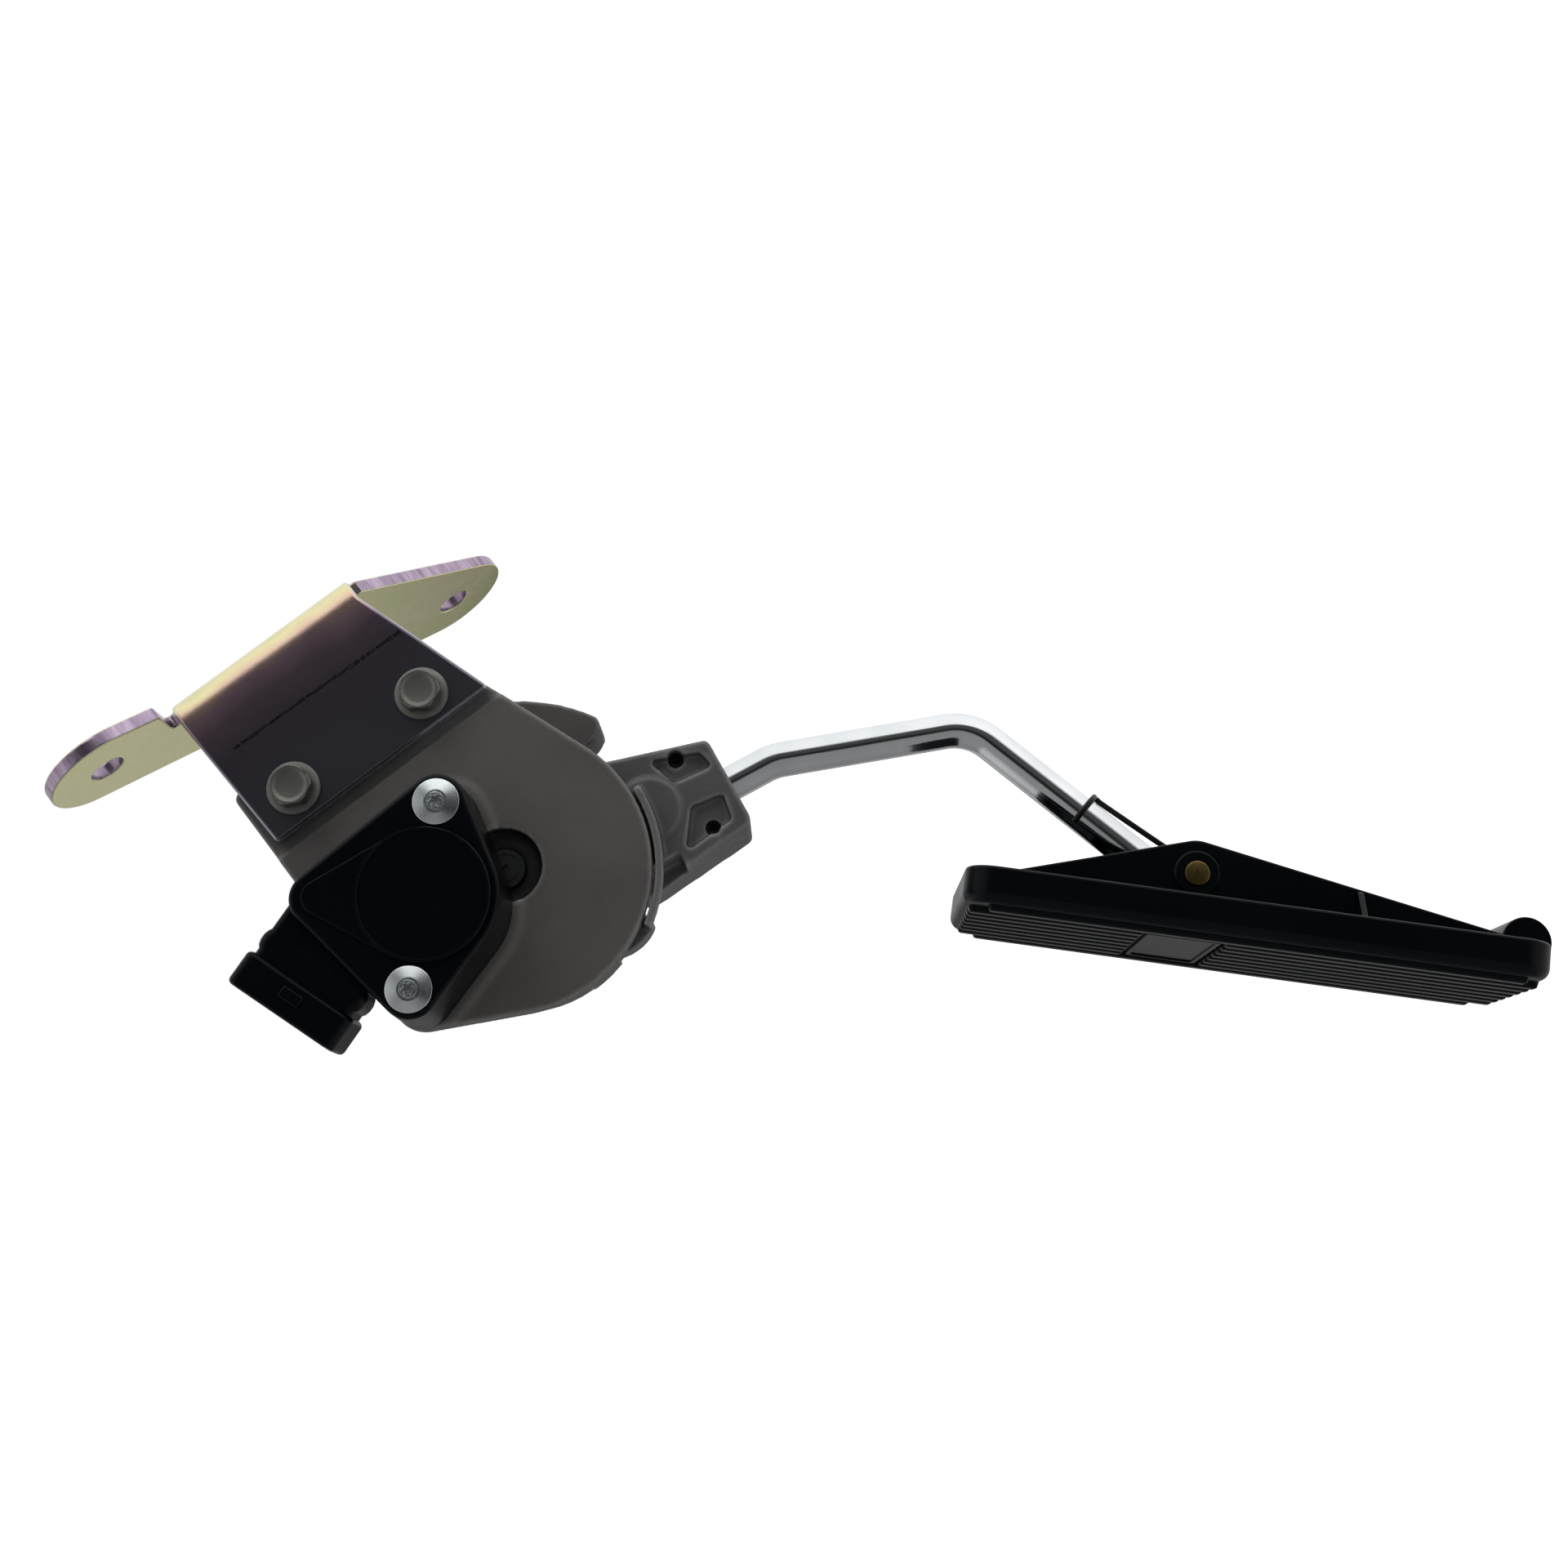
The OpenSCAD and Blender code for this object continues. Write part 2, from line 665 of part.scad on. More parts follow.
module pedal_rod() {
    cut_1 = rod_bend_r * tan(rod_bend_1 / 2);
    cut_2 = rod_bend_r * tan(rod_bend_2 / 2);
    lap = 0.3;
    color([0.8, 0.81, 0.83]) difference() {
        union() {
            straight(on_arm(rod_start_u, rod_v), arm_turn, rod_bend_u - rod_start_u - cut_1, 0, lap);
            bend(bend_1_at - cut_1 * heading(arm_turn), arm_turn, rod_bend_1);
            straight(bend_1_at + cut_1 * heading(rod_turn_2), rod_turn_2, rod_mid_length - cut_1 - cut_2, lap, lap);
            bend(bend_2_at - cut_2 * heading(rod_turn_2), rod_turn_2, rod_bend_2);
            straight(bend_2_at + cut_2 * heading(rod_turn_3), rod_turn_3, pin_along + 1 - cut_2, lap, 0);
        }
        bar_x(sleeve_r, mid_x - 20, mid_x + 20, pin_at);
    }
}

module rod_sleeve() {
    half = ear_gap / 2 - 0.5;
    color([0.7, 0.7, 0.72]) ring_x(sleeve_r, pin_d / 2 + run_gap, mid_x - half, mid_x + half, pin_at);
}

// Pad: drawn about its pin, with Y along the pad towards the heel and Z away from the foot.
pad_turn = 224;
pad_heel = pad_length * 0.598;
pad_toe = pad_heel - pad_length;
skirt_top = -7.6;
skirt_bottom = skirt_top - skirt_h;
skirt_wall = 2.6;
face_t = 3;
pad_bevel = 2.2;
pad_corner_r = 8;
ear_t = 3;
ear_top_r = 8.8;
heel_boss_r = 6.4;
panel_length = 18.8;
panel_width = 39.5;
panel_s = -2.2;

module at_pin() {
    translate([mid_x, pin_at[0], pin_at[1]]) rotate([pad_turn, 0, 0]) children();
}

module pad_outline(inset) {
    half = pad_width / 2 - pad_corner_r;
    r = max(pad_corner_r - inset, 0.5);
    rounded_outline([
        [half, pad_heel - pad_corner_r, r], [-half, pad_heel - pad_corner_r, r],
        [-half, pad_toe + pad_corner_r, r], [half, pad_toe + pad_corner_r, r]
    ]);
}

// Bevelled layer of the pad's face: cones at the corners and two crossing bars between them.
module pad_face() {
    half = pad_width / 2 - pad_corner_r;
    from = pad_toe + pad_corner_r;
    to = pad_heel - pad_corner_r;
    low_r = pad_corner_r - pad_bevel;
    translate([0, 0, skirt_bottom]) {
        for (x = [-half, half], y = [from, to]) translate([x, y, 0])
            cylinder(r1 = low_r, r2 = pad_corner_r, h = pad_bevel);
        translate([0, to, 0]) rotate([90, 0, 0]) linear_extrude(to - from) polygon([
            [-half - low_r, 0], [half + low_r, 0], [half + pad_corner_r, pad_bevel], [-half - pad_corner_r, pad_bevel]
        ]);
        translate([-half, 0, 0]) rotate([90, 0, 90]) linear_extrude(2 * half) polygon([
            [from - low_r, 0], [to + low_r, 0], [to + pad_corner_r, pad_bevel], [from - pad_corner_r, pad_bevel]
        ]);
    }
}

module pad_ear(x0) {
    translate([x0, 0, 0]) difference() {
        union() {
            along_x(0, ear_t) rounded_outline([
                [0, 0, ear_top_r], [pad_toe + 4.5, -8.6, 0.6], [pad_toe + 6, skirt_bottom + 1, 0.6],
                [pad_heel - 8, skirt_bottom + 1, 0.6], [pad_heel - 6, -5.9, 0.6]
            ]);
            bar_x(6.2, -0.4, ear_t + 0.8);
        }
        bar_x(pin_d / 2, -2, ear_t + 2);
    }
}

ridge_pitch = (pad_width - 8) / (ridge_count - 1 + 0.6);

module ridge(i) {
    x = (i - (ridge_count - 1) / 2) * ridge_pitch;
    outer = i == 0 || i == ridge_count - 1;
    from = pad_toe + (outer ? 7 : 2.2);
    to = pad_heel - (outer ? 6 : 1.2);
    difference() {
        translate([x, from, skirt_bottom + 0.2]) rotate([-90, 0, 0]) linear_extrude(to - from)
            polygon([[-2.5, -1], [-2.5, 0.2], [-0.6, ridge_h + 0.2], [0.6, ridge_h + 0.2], [2.5, 0.2], [2.5, -1]]);
        translate([-panel_width / 2 - 1, panel_s - panel_length / 2 - 1, skirt_bottom - 5])
            cube([panel_width + 2, panel_length + 2, 5]);
    }
}

module pad() {
    ear_x = ear_gap / 2;
    color([0.1, 0.1, 0.11]) at_pin() {
        difference() {
            union() {
                translate([0, 0, skirt_bottom + pad_bevel]) linear_extrude(skirt_h - pad_bevel) pad_outline(0);
                pad_face();
            }
            translate([0, 0, skirt_bottom + face_t]) linear_extrude(skirt_h) pad_outline(skirt_wall);
        }
        pad_ear(ear_x);
        mirror([1, 0, 0]) pad_ear(ear_x);
        for (i = [0 : ridge_count - 1]) ridge(i);
        translate([-panel_width / 2, panel_s - panel_length / 2, skirt_bottom - 0.9])
            cube([panel_width, panel_length, 1.5]);
        bar_x(heel_boss_r, -ear_x - ear_t, ear_x + ear_t, [pad_heel - 2.6, skirt_top + 1.4]);
        for (s = rib_places) translate([-pad_width / 2 + 1, s, skirt_bottom + 1])
            cube([pad_width - 2, 1.8, skirt_h - 2.4]);
        for (x = [-ear_x - ear_t - 9, ear_x + ear_t]) translate([x, 41, skirt_top - 2]) cube([9, 1.6, 5.5]);
        translate([-stop_width / 2, 5.2, skirt_bottom + 1]) cube([stop_width, 3, stop_top - skirt_bottom - 1]);
    }
}

// Cross ribs along the pad. The stop rib's width leaves room for the spring's leg, its top is just under
// the rod's end.
rib_places = [-38, 41, 66];
stop_width = 17;
rod_tip = bend_2_at + (pin_along + 1) * heading(rod_turn_3) - rod_d / 2 * heading(rod_turn_3 + 90);
stop_top = (rod_tip - pin_at) * heading(pad_turn + 90) - 0.3;

module pad_pin() {
    half = ear_gap / 2 + ear_t + 1.2;
    color([0.72, 0.6, 0.32]) bar_x(pin_d / 2, mid_x - half - 1.6, mid_x + half, pin_at);
}

module pin_clip() {
    x = mid_x - ear_gap / 2 - ear_t - 0.8;
    color([0.25, 0.25, 0.26]) difference() {
        ring_x(pin_d / 2 + 2, pin_d / 2, x - 1, x - 0.05, pin_at);
        at_pin() translate([-60, -1.2, 0]) cube([60, 2.4, 12]);
    }
}

// Spring of the pad: a coil on the sleeve, one leg hooked over the rod, one leg on the pad's floor.
pad_wire_d = 1.6;
hook_along = 33;
leg_step = 3.55;

module pad_spring() {
    turns = 2.5;
    coil_r = sleeve_r + pad_wire_d / 2 + 0.3;
    hook_r = rod_d / 2 + pad_wire_d / 2 + 0.3;
    far_x = -ear_gap / 2 + 1.3;
    near_x = far_x + turns * (pad_wire_d + 0.1);
    back = rod_turn_3 + 180;
    start = back - 90;
    body = coil(coil_r, near_x, far_x, start, start + 360 * turns, 18);
    // Points given across (X), back along the rod and out from the pin towards the ears' tops.
    function spot(x, along, out) =
        [x, along * cos(back) + out * cos(start), along * sin(back) + out * sin(start)];
    hook = [
        for (i = [0 : 10])
            let (a = -42 + 17 * i) spot(hook_r * sin(a), hook_along, -pin_offset + hook_r * cos(a))
    ];
    lead = [
        spot(hook_r * sin(-42) - 0.2, hook_along - 3.2, -pin_offset + hook_r * cos(-42) + 0.3),
        spot(near_x + 0.1, 12, coil_r - 1.2)
    ];
    floor_leg = [
        for (i = [1 : 4])
            let (last = body[len(body) - 1], a = start + 360 * turns)
                last + [0, -leg_step * i * sin(a), leg_step * i * cos(a)]
    ];
    path = concat([for (i = [10 : -1 : 0]) hook[i]], lead, body, floor_leg);
    color([0.12, 0.12, 0.13]) translate([mid_x, pin_at[0], pin_at[1]])
        wire(path, pad_wire_d / 2, [0, cos(back), sin(back)]);
}

// Sensor: body with the connector's shroud, lid, rotor, board, seal, sleeves, screws and terminals.
plug_turn = 108.5;
plug_mid = -13.2;
plug_near_x = sensor_x + 17;
plug_t = 13;
plug_back = 21;
plug_flange = 34.2;
plug_end = 43.5;
plug_wall = 1.8;
terminal_end = 34;
lid_t = 1;
cavity_x = sensor_x + 9;
sleeve_hole_r = 4;
sensor_screw_d = 5;
rotor_r = 9;
rotor_shaft_r = 3;
rotor_disc_t = 4;
rotor_gap = 0.5;
board_rise = 8.5;
board_t = 1.6;
board_inset = 2.3;
seal_ring_r = 11;
seal_section_r = 0.74;
seal_groove_r = 1.2;
seal_groove_depth = 1.5;
terminal_w = 2;
terminal_t = 0.8;
terminal_pitch = 7;
terminal_row_gap = 3.8;

module at_sensor() {
    translate([sensor_y, sensor_z]) children();
}

lid_corners = [
    [sensor_y, sensor_z, 17], [plug_lobe[0] - 0.5, plug_lobe[1] - 0.6, 4.6]
];

module plug_block(x0, x1, a0, a1, half) {
    along_x(x0, x1) at_sensor() rotate(plug_turn) translate([a0, plug_mid - half]) square([a1 - a0, 2 * half]);
}

module sensor_body() {
    top_x = sensor_x + sensor_h - lid_t;
    half = plug_width / 2;
    color([0.09, 0.09, 0.1]) difference() {
        union() {
            along_x(sensor_x, top_x) rounded_outline(sensor_corners);
            plug_block(plug_near_x - plug_t, plug_near_x, plug_back - 8, plug_end, half);
            plug_block(plug_near_x - plug_t - 1, plug_near_x + 1, plug_flange, plug_end, half + 1.8);
            bar_x(1.5, plug_near_x - 1, plug_near_x + 1.4, plug_point(plug_flange + 1.6, plug_mid - 1));
        }
        along_x(cavity_x, top_x + 1) rounded_outline(grown(lid_corners, -2));
        bar_x(rotor_shaft_r + run_gap, sensor_x - 1, cavity_x + 1, [sensor_y, sensor_z]);
        ring_x(seal_ring_r + seal_groove_r, seal_ring_r - seal_groove_r, sensor_x - 1, sensor_x + seal_groove_depth,
            [sensor_y, sensor_z]);
        for (side = [-1, 1]) bar_x(sleeve_hole_r, sensor_x - 1, top_x + 2, screw_at(side));
        plug_block(plug_near_x - plug_t + plug_wall + 1, plug_near_x - plug_wall - 1, plug_back + 6, plug_end + 1,
            half - plug_wall);
        for (row = [0 : 1], i = [0 : terminals_in_row - 1]) terminal_space(row, i, 0.05);
    }
}

module sensor_lid() {
    top_x = sensor_x + sensor_h - lid_t;
    color([0.1, 0.1, 0.11]) difference() {
        union() {
            along_x(top_x, top_x + lid_t) rounded_outline(lid_corners);
            along_x(top_x - 1.5, top_x) difference() {
                rounded_outline(grown(lid_corners, -2.2));
                rounded_outline(grown(lid_corners, -3.6));
            }
            ring_x(16.7, 16, top_x, top_x + lid_t + 0.5, [sensor_y, sensor_z]);
        }
        for (side = [-1, 1]) bar_x(sensor_head_d / 2 + 0.3, top_x - 3, top_x + 4, screw_at(side));
    }
}

module sensor_rotor() {
    color([0.85, 0.83, 0.76]) {
        bar_x(rotor_shaft_r, sector_x0 - 0.8, cavity_x + 1, [sensor_y, sensor_z]);
        bar_x(rotor_r, cavity_x + rotor_gap, cavity_x + rotor_gap + rotor_disc_t, [sensor_y, sensor_z]);
        along_x(sector_x0 - 0.6, sector_x1 + 0.6) at_sensor() pinion_profile();
    }
}

module sensor_board() {
    board_x = cavity_x + board_rise;
    color([0.1, 0.35, 0.2]) along_x(board_x, board_x + board_t) rounded_outline(grown(lid_corners, -board_inset));
}

module sensor_seal() {
    color([0.1, 0.1, 0.1]) translate([sensor_x + seal_groove_depth / 2, sensor_y, sensor_z]) rotate([0, 90, 0])
        rotate_extrude() translate([seal_ring_r, 0]) circle(r = seal_section_r);
}

module sensor_sleeve(side) {
    color([0.75, 0.62, 0.35])
        ring_x(sleeve_hole_r, sensor_screw_d / 2 + 0.2, sensor_x, sensor_x + sensor_h - lid_t, screw_at(side));
}

module sensor_screw(side) {
    head_x = sensor_x + sensor_h - lid_t;
    at = screw_at(side);
    color([0.8, 0.81, 0.83]) difference() {
        union() {
            translate([head_x, at[0], at[1]]) rotate([0, 90, 0]) rotate_extrude()
                polygon([[0, 0], [sensor_head_d / 2, 0], [sensor_head_d / 2, 0.8], [3.1, 2], [0, 2]]);
            bar_x(sensor_screw_d / 2, plate_back_x + 0.5, head_x + 0.5, at);
        }
        translate([head_x + 0.6, at[0], at[1]]) rotate([0, 90, 0]) {
            for (turn = [0, 60, 120]) rotate([0, 0, turn]) translate([-2.1, -0.6, 0]) cube([4.2, 1.2, 3]);
            cylinder(r = 1.5, h = 3);
        }
    }
}

function plug_point(a, b) = [
    sensor_y + a * cos(plug_turn) - b * sin(plug_turn),
    sensor_z + a * sin(plug_turn) + b * cos(plug_turn)
];

module terminal_space(row, i, slack) {
    x = plug_near_x - plug_t / 2 + (row - 0.5) * terminal_row_gap;
    b = (i - (terminals_in_row - 1) / 2) * terminal_pitch;
    along_x(x - terminal_t / 2 - slack, x + terminal_t / 2 + slack) at_sensor() rotate(plug_turn)
        translate([plug_back - 2, plug_mid + b - terminal_w / 2 - slack])
            square([terminal_end - plug_back + 2, terminal_w + 2 * slack]);
}

module terminal(number) {
    color([0.8, 0.78, 0.7]) terminal_space(number > 3 ? 1 : 0, (number - 1) % 3, 0);
}

mounting_bracket();
bracket_bolt(-1);  // bracket_bolt_1
bracket_bolt(1);  // bracket_bolt_2
pedal_housing();
housing_cover();
cover_screw(cover_screws[0]);  // cover_screw_1
cover_screw(cover_screws[1]);  // cover_screw_2
cover_screw(cover_screws[2]);  // cover_screw_3
cover_screw(cover_screws[3]);  // cover_screw_4
pivot_shaft();
hub_bush(hub_near_x - bush_length);  // hub_bush_near
hub_bush(hub_far_x);  // hub_bush_far
thrust_washer(plate_back_x - washer_t);  // thrust_washer_near
thrust_washer(cover_x);  // thrust_washer_far
return_spring(spring_outer_r, spring_outer_wire, 3);  // return_spring_outer
return_spring(spring_inner_r, spring_inner_wire, 4);  // return_spring_inner
lever();
clamp_screw(-1);  // clamp_screw_1
clamp_screw(1);  // clamp_screw_2
pedal_rod();
rod_sleeve();
pad();
pad_pin();
pin_clip();
pad_spring();
sensor_body();
sensor_lid();
sensor_rotor();
sensor_board();
sensor_seal();
sensor_sleeve(-1);  // sensor_sleeve_1
sensor_sleeve(1);  // sensor_sleeve_2
sensor_screw(-1);  // sensor_screw_1
sensor_screw(1);  // sensor_screw_2
terminal(1);  // terminal_1
terminal(2);  // terminal_2
terminal(3);  // terminal_3
terminal(4);  // terminal_4
terminal(5);  // terminal_5
terminal(6);  // terminal_6
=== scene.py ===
"""Suspended electronic throttle pedal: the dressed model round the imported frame.

Lengths are millimetres in the row frame, unless a description says metres; a mesh is in metres once it is made.
+Y leaves the bracket's flange towards the wall, +Z is up, +X is the sensor's side.
"""
import logging
import math
from dataclasses import dataclass
from enum import Enum
from typing import Any, Callable, Sequence

import bmesh
import bpy
import numpy as np
from mathutils import Matrix, Vector
from mathutils.geometry import tessellate_polygon


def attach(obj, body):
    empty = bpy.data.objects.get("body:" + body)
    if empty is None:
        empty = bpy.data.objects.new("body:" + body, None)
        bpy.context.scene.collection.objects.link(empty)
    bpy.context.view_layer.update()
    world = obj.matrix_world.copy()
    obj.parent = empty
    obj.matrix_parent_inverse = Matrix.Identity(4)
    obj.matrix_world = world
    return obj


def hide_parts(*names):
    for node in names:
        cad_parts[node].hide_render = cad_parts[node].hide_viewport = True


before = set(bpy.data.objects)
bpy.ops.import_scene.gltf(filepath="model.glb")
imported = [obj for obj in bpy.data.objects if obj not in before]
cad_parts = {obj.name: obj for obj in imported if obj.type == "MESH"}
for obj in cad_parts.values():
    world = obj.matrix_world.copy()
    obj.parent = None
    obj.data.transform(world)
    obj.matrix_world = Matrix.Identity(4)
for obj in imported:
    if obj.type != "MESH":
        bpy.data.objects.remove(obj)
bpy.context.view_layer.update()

logging.basicConfig(level=logging.INFO, format="%(message)s")
LOG = logging.getLogger("pedal")

Move = Callable[[np.ndarray], np.ndarray]

MM = 0.001
# The pivot in Y and Z, the arm's and the connector's middles in X, directions in radians from +Y towards +Z.
PIVOT = np.array([-88.5, -15.4])
MID_X = 8.0
ARM_TURN = math.radians(-99.2)
PLUG_TURN = math.radians(108.5)
PLUG_X = 40.3
PAD_TURN = math.radians(224.0)
# The rod's offset from the arm's line, and the directions of its three straight runs.
ROD_V = -4.4
ROD_TURNS = [ARM_TURN - math.radians(bend) for bend in (0.0, 19.0, 68.3)]
GEAR_DISTANCE = 19.8
# The photograph's right, down and forward directions.
VIEW = ((-0.006771, -0.616298, -0.787484), (-0.208394, -0.769342, 0.603892), (-0.978022, 0.168196, -0.123224))


def heading(turn: float) -> np.ndarray:
    """Unit direction in Y and Z at an angle in radians, counted from +Y towards +Z."""
    return np.array([math.cos(turn), math.sin(turn)])


def on_arm(u: float, v: float) -> np.ndarray:
    """Place in Y and Z of a point given along (u) and across (v) the lever's arm."""
    return PIVOT + u * heading(ARM_TURN) + v * heading(ARM_TURN + math.pi / 2)


# Places in Y and Z: the sensor's axis, the rod's start, its two bends' corners and the pad's pin.
SENSOR = PIVOT + GEAR_DISTANCE * heading(math.radians(83.6))
ROD_START, BEND_1 = on_arm(33.0, ROD_V), on_arm(75.4, ROD_V)
BEND_2 = BEND_1 + 53.6 * heading(ROD_TURNS[1])
PIN = BEND_2 + 70.5 * heading(ROD_TURNS[2]) + 3.1 * heading(ROD_TURNS[2] + math.pi / 2)


def screw_place(side: int) -> np.ndarray:
    """Place in Y and Z of the sensor screw on one side, -1 or 1."""
    return SENSOR + side * 23.3 * heading(math.radians(135.8))


# Meshes


def along_x(points: np.ndarray) -> np.ndarray:
    """Turns (y, z, x) rows into (x, y, z) rows: a profile in Y and Z carried along X."""
    return np.column_stack([points[:, 2], points[:, 0], points[:, 1]])


def round_angles(count: int) -> np.ndarray:
    """Angles evenly spread round a circle, from 0, in radians."""
    return np.linspace(0, 2 * math.pi, count, endpoint=False)


def arc(centre: Sequence[float], r: float, a0: float, a1: float, count: int) -> np.ndarray:
    """Points on a circle from angle a0 to a1 in degrees: centre + r (cos a, sin a)."""
    a = np.radians(np.linspace(a0, a1, count))
    return np.column_stack([centre[0] + r * np.cos(a), centre[1] + r * np.sin(a)])


def circle(at: Sequence[float], r: float, count: int = 48) -> np.ndarray:
    """Points on a whole circle, anticlockwise, not closed: at + r (cos a, sin a)."""
    a = round_angles(count)
    return np.column_stack([at[0] + r * np.cos(a), at[1] + r * np.sin(a)])


def rounded(corners: Sequence[Sequence[float]], step: float = 0.0, fineness: float = 6.0) -> np.ndarray:
    """Outline round corner circles listed anticlockwise, as a belt lies round pulleys.

    Each straight edge leaves a circle of radius r_a and lands on one of radius r_b where both have the same
    normal: the direction of their centres' line turned by -acos((r_a - r_b) / distance).

    Args:
        corners: rows of y, z and radius.
        step: added to every radius.
        fineness: degrees per point on the arcs.
    Returns:
        Points as rows, anticlockwise, not closed.
    """
    c = np.array([[a, b, max(r + step, 0.05)] for a, b, r in corners], float)
    nxt = np.roll(c, -1, axis=0)
    d = nxt[:, :2] - c[:, :2]
    lean = (c[:, 2] - nxt[:, 2]) / np.hypot(d[:, 0], d[:, 1])
    leave = np.arctan2(d[:, 1], d[:, 0]) - np.arccos(np.clip(lean, -1, 1))
    parts = []
    for (y, z, r), a0, a1 in zip(c, np.roll(leave, 1), leave):
        span = (a1 - a0) % (2 * math.pi)
        # A span of nothing can come out as nearly a whole turn.
        span = 0.0 if span > 2 * math.pi - 0.2 else span
        a = a0 + np.linspace(0, span, max(2, int(math.degrees(span) / fineness) + 2))
        parts.append(np.column_stack([y + r * np.cos(a), z + r * np.sin(a)]))
    return np.vstack(parts)


def rectangle(mid: float, half: float, low: float, high: float, r: float, fineness: float = 6.0) -> np.ndarray:
    """Rectangle with round corners, anticlockwise: mid - half to mid + half by low to high.

    Args:
        mid: middle of the first coordinate.
        half: half its extent.
        low: start of the second coordinate.
        high: its end.
        r: the corners' radius.
        fineness: degrees per point on the arcs.
    Returns:
        Points as rows, not closed.
    """
    h = half - r
    ends = ((mid + h, high - r), (mid - h, high - r), (mid - h, low + r), (mid + h, low + r))
    return rounded([(*end, r) for end in ends], 0.0, fineness)


def softened_corners(points: np.ndarray, r: float) -> np.ndarray:
    """Cuts each corner of a closed outline back by r along both sides and joins with a parabola.

    A point of the parabola is (1-t)^2 before + 2t(1-t) corner + t^2 after.

    Args:
        points: the outline's corners.
        r: how far a corner is cut back, at most 0.45 of its shorter side.
    Returns:
        Points as rows, not closed.
    """
    sides = [np.roll(points, k, axis=0) - points for k in (1, -1)]
    lengths = [np.linalg.norm(side, axis=1, keepdims=True) for side in sides]
    cut = np.minimum(r, 0.45 * np.minimum(*lengths))
    p0, p1 = ((points + side / length * cut)[:, None] for side, length in zip(sides, lengths))
    t = np.linspace(0, 1, 5)[None, :, None]
    return ((1 - t) ** 2 * p0 + 2 * t * (1 - t) * points[:, None] + t ** 2 * p1).reshape(-1, 2)


def outward(points: np.ndarray) -> np.ndarray:
    """Steps that move both sides of each point of an outline out by one: (n1 + n2) / (1 + n1 . n2).

    Args:
        points: a closed anticlockwise outline, whose sides before and after a point have normals n1 and n2.
    Returns:
        A step for each point, with the divisor at least 0.3.
    """
    normals = []
    for side in (points - np.roll(points, 1, axis=0), np.roll(points, -1, axis=0) - points):
        length = np.linalg.norm(side, axis=1, keepdims=True)
        normals.append(np.column_stack([side[:, 1], -side[:, 0]]) / np.maximum(length, 1e-9))
    n = normals[0] + normals[1]
    return n / np.maximum(np.sum(n * n, axis=1, keepdims=True) / 2, 0.3)


def rim(r: float, face: float, way: int, steps: int) -> list[tuple[float, float]]:
    """Quarter circle of a rim: at angle t the outline moves in by r (1 - sin t), r (1 - cos t) from the face.

    Args:
        r: its radius.
        face: height of the face.
        way: 1 up from a lower face, -1 up to an upper one.
        steps: segments.
    Returns:
        Rows of inset and height, upwards.
    """
    t = np.linspace(0, math.pi / 2, steps + 1)[::way]
    return [(r * (1 - math.sin(a)), face + way * r * (1 - math.cos(a))) for a in t]


def ring_grid(radii: np.ndarray, heights: Sequence[float], at: np.ndarray) -> np.ndarray:
    """Grid of (y, z, x) points whose radius depends on row and angle: at + r (cos a, sin a).

    Args:
        radii: rows by columns of radii, columns evenly round the circle.
        heights: height of each row.
        at: the axis' place in Y and Z.
    Returns:
        Rows by columns by 3.
    """
    a = round_angles(radii.shape[1])
    h = np.repeat(np.asarray(heights, float)[:, None], radii.shape[1], axis=1)
    return np.stack([at[0] + radii * np.cos(a), at[1] + radii * np.sin(a), h], axis=2)


def hexagon(flats: float, count: int, turn: float, round_r: float) -> np.ndarray:
    """Radius of a hexagon at evenly spread angles: flats / 2 / cos(angle from the nearest flat).

    Args:
        flats: width across the flats.
        count: how many angles.
        turn: its turn in degrees.
        round_r: how much the corners fall short.
    Returns:
        A radius for each angle.
    """
    off = (round_angles(count) - math.radians(turn) + math.pi / 6) % (math.pi / 3) - math.pi / 6
    return np.minimum(flats / 2 / np.cos(off), flats / 2 / math.cos(math.pi / 6) - round_r)


def socket_head(rows: Sequence[tuple[float, float]], recess: np.ndarray, steps: Sequence[tuple[float, float]],
                at: np.ndarray, x0: float) -> np.ndarray:
    """Grid of a screw: round rows from its shank over its head, then rows down a recess of another outline.

    Args:
        rows: radius and height of each round row.
        recess: the recess' radius at evenly spread angles.
        steps: share of that radius and height of each of its rows.
        at: the axis' place in Y and Z.
        x0: X of height 0.
    Returns:
        Rows by columns by 3, as (y, z, x).
    """
    radii = [np.full(len(recess), r) for r, _ in rows] + [share * recess for share, _ in steps]
    return ring_grid(np.array(radii), x0 + np.array([h for _, h in [*rows, *steps]]), at)


def quads(index: np.ndarray, following: np.ndarray) -> list[tuple[int, ...]]:
    """Faces between rows of point numbers and the rows that follow them, each closing round."""
    corners = [index, np.roll(index, -1, 1), np.roll(following, -1, 1), following]
    return [tuple(q) for q in np.stack(corners, axis=2).reshape(-1, 4)]


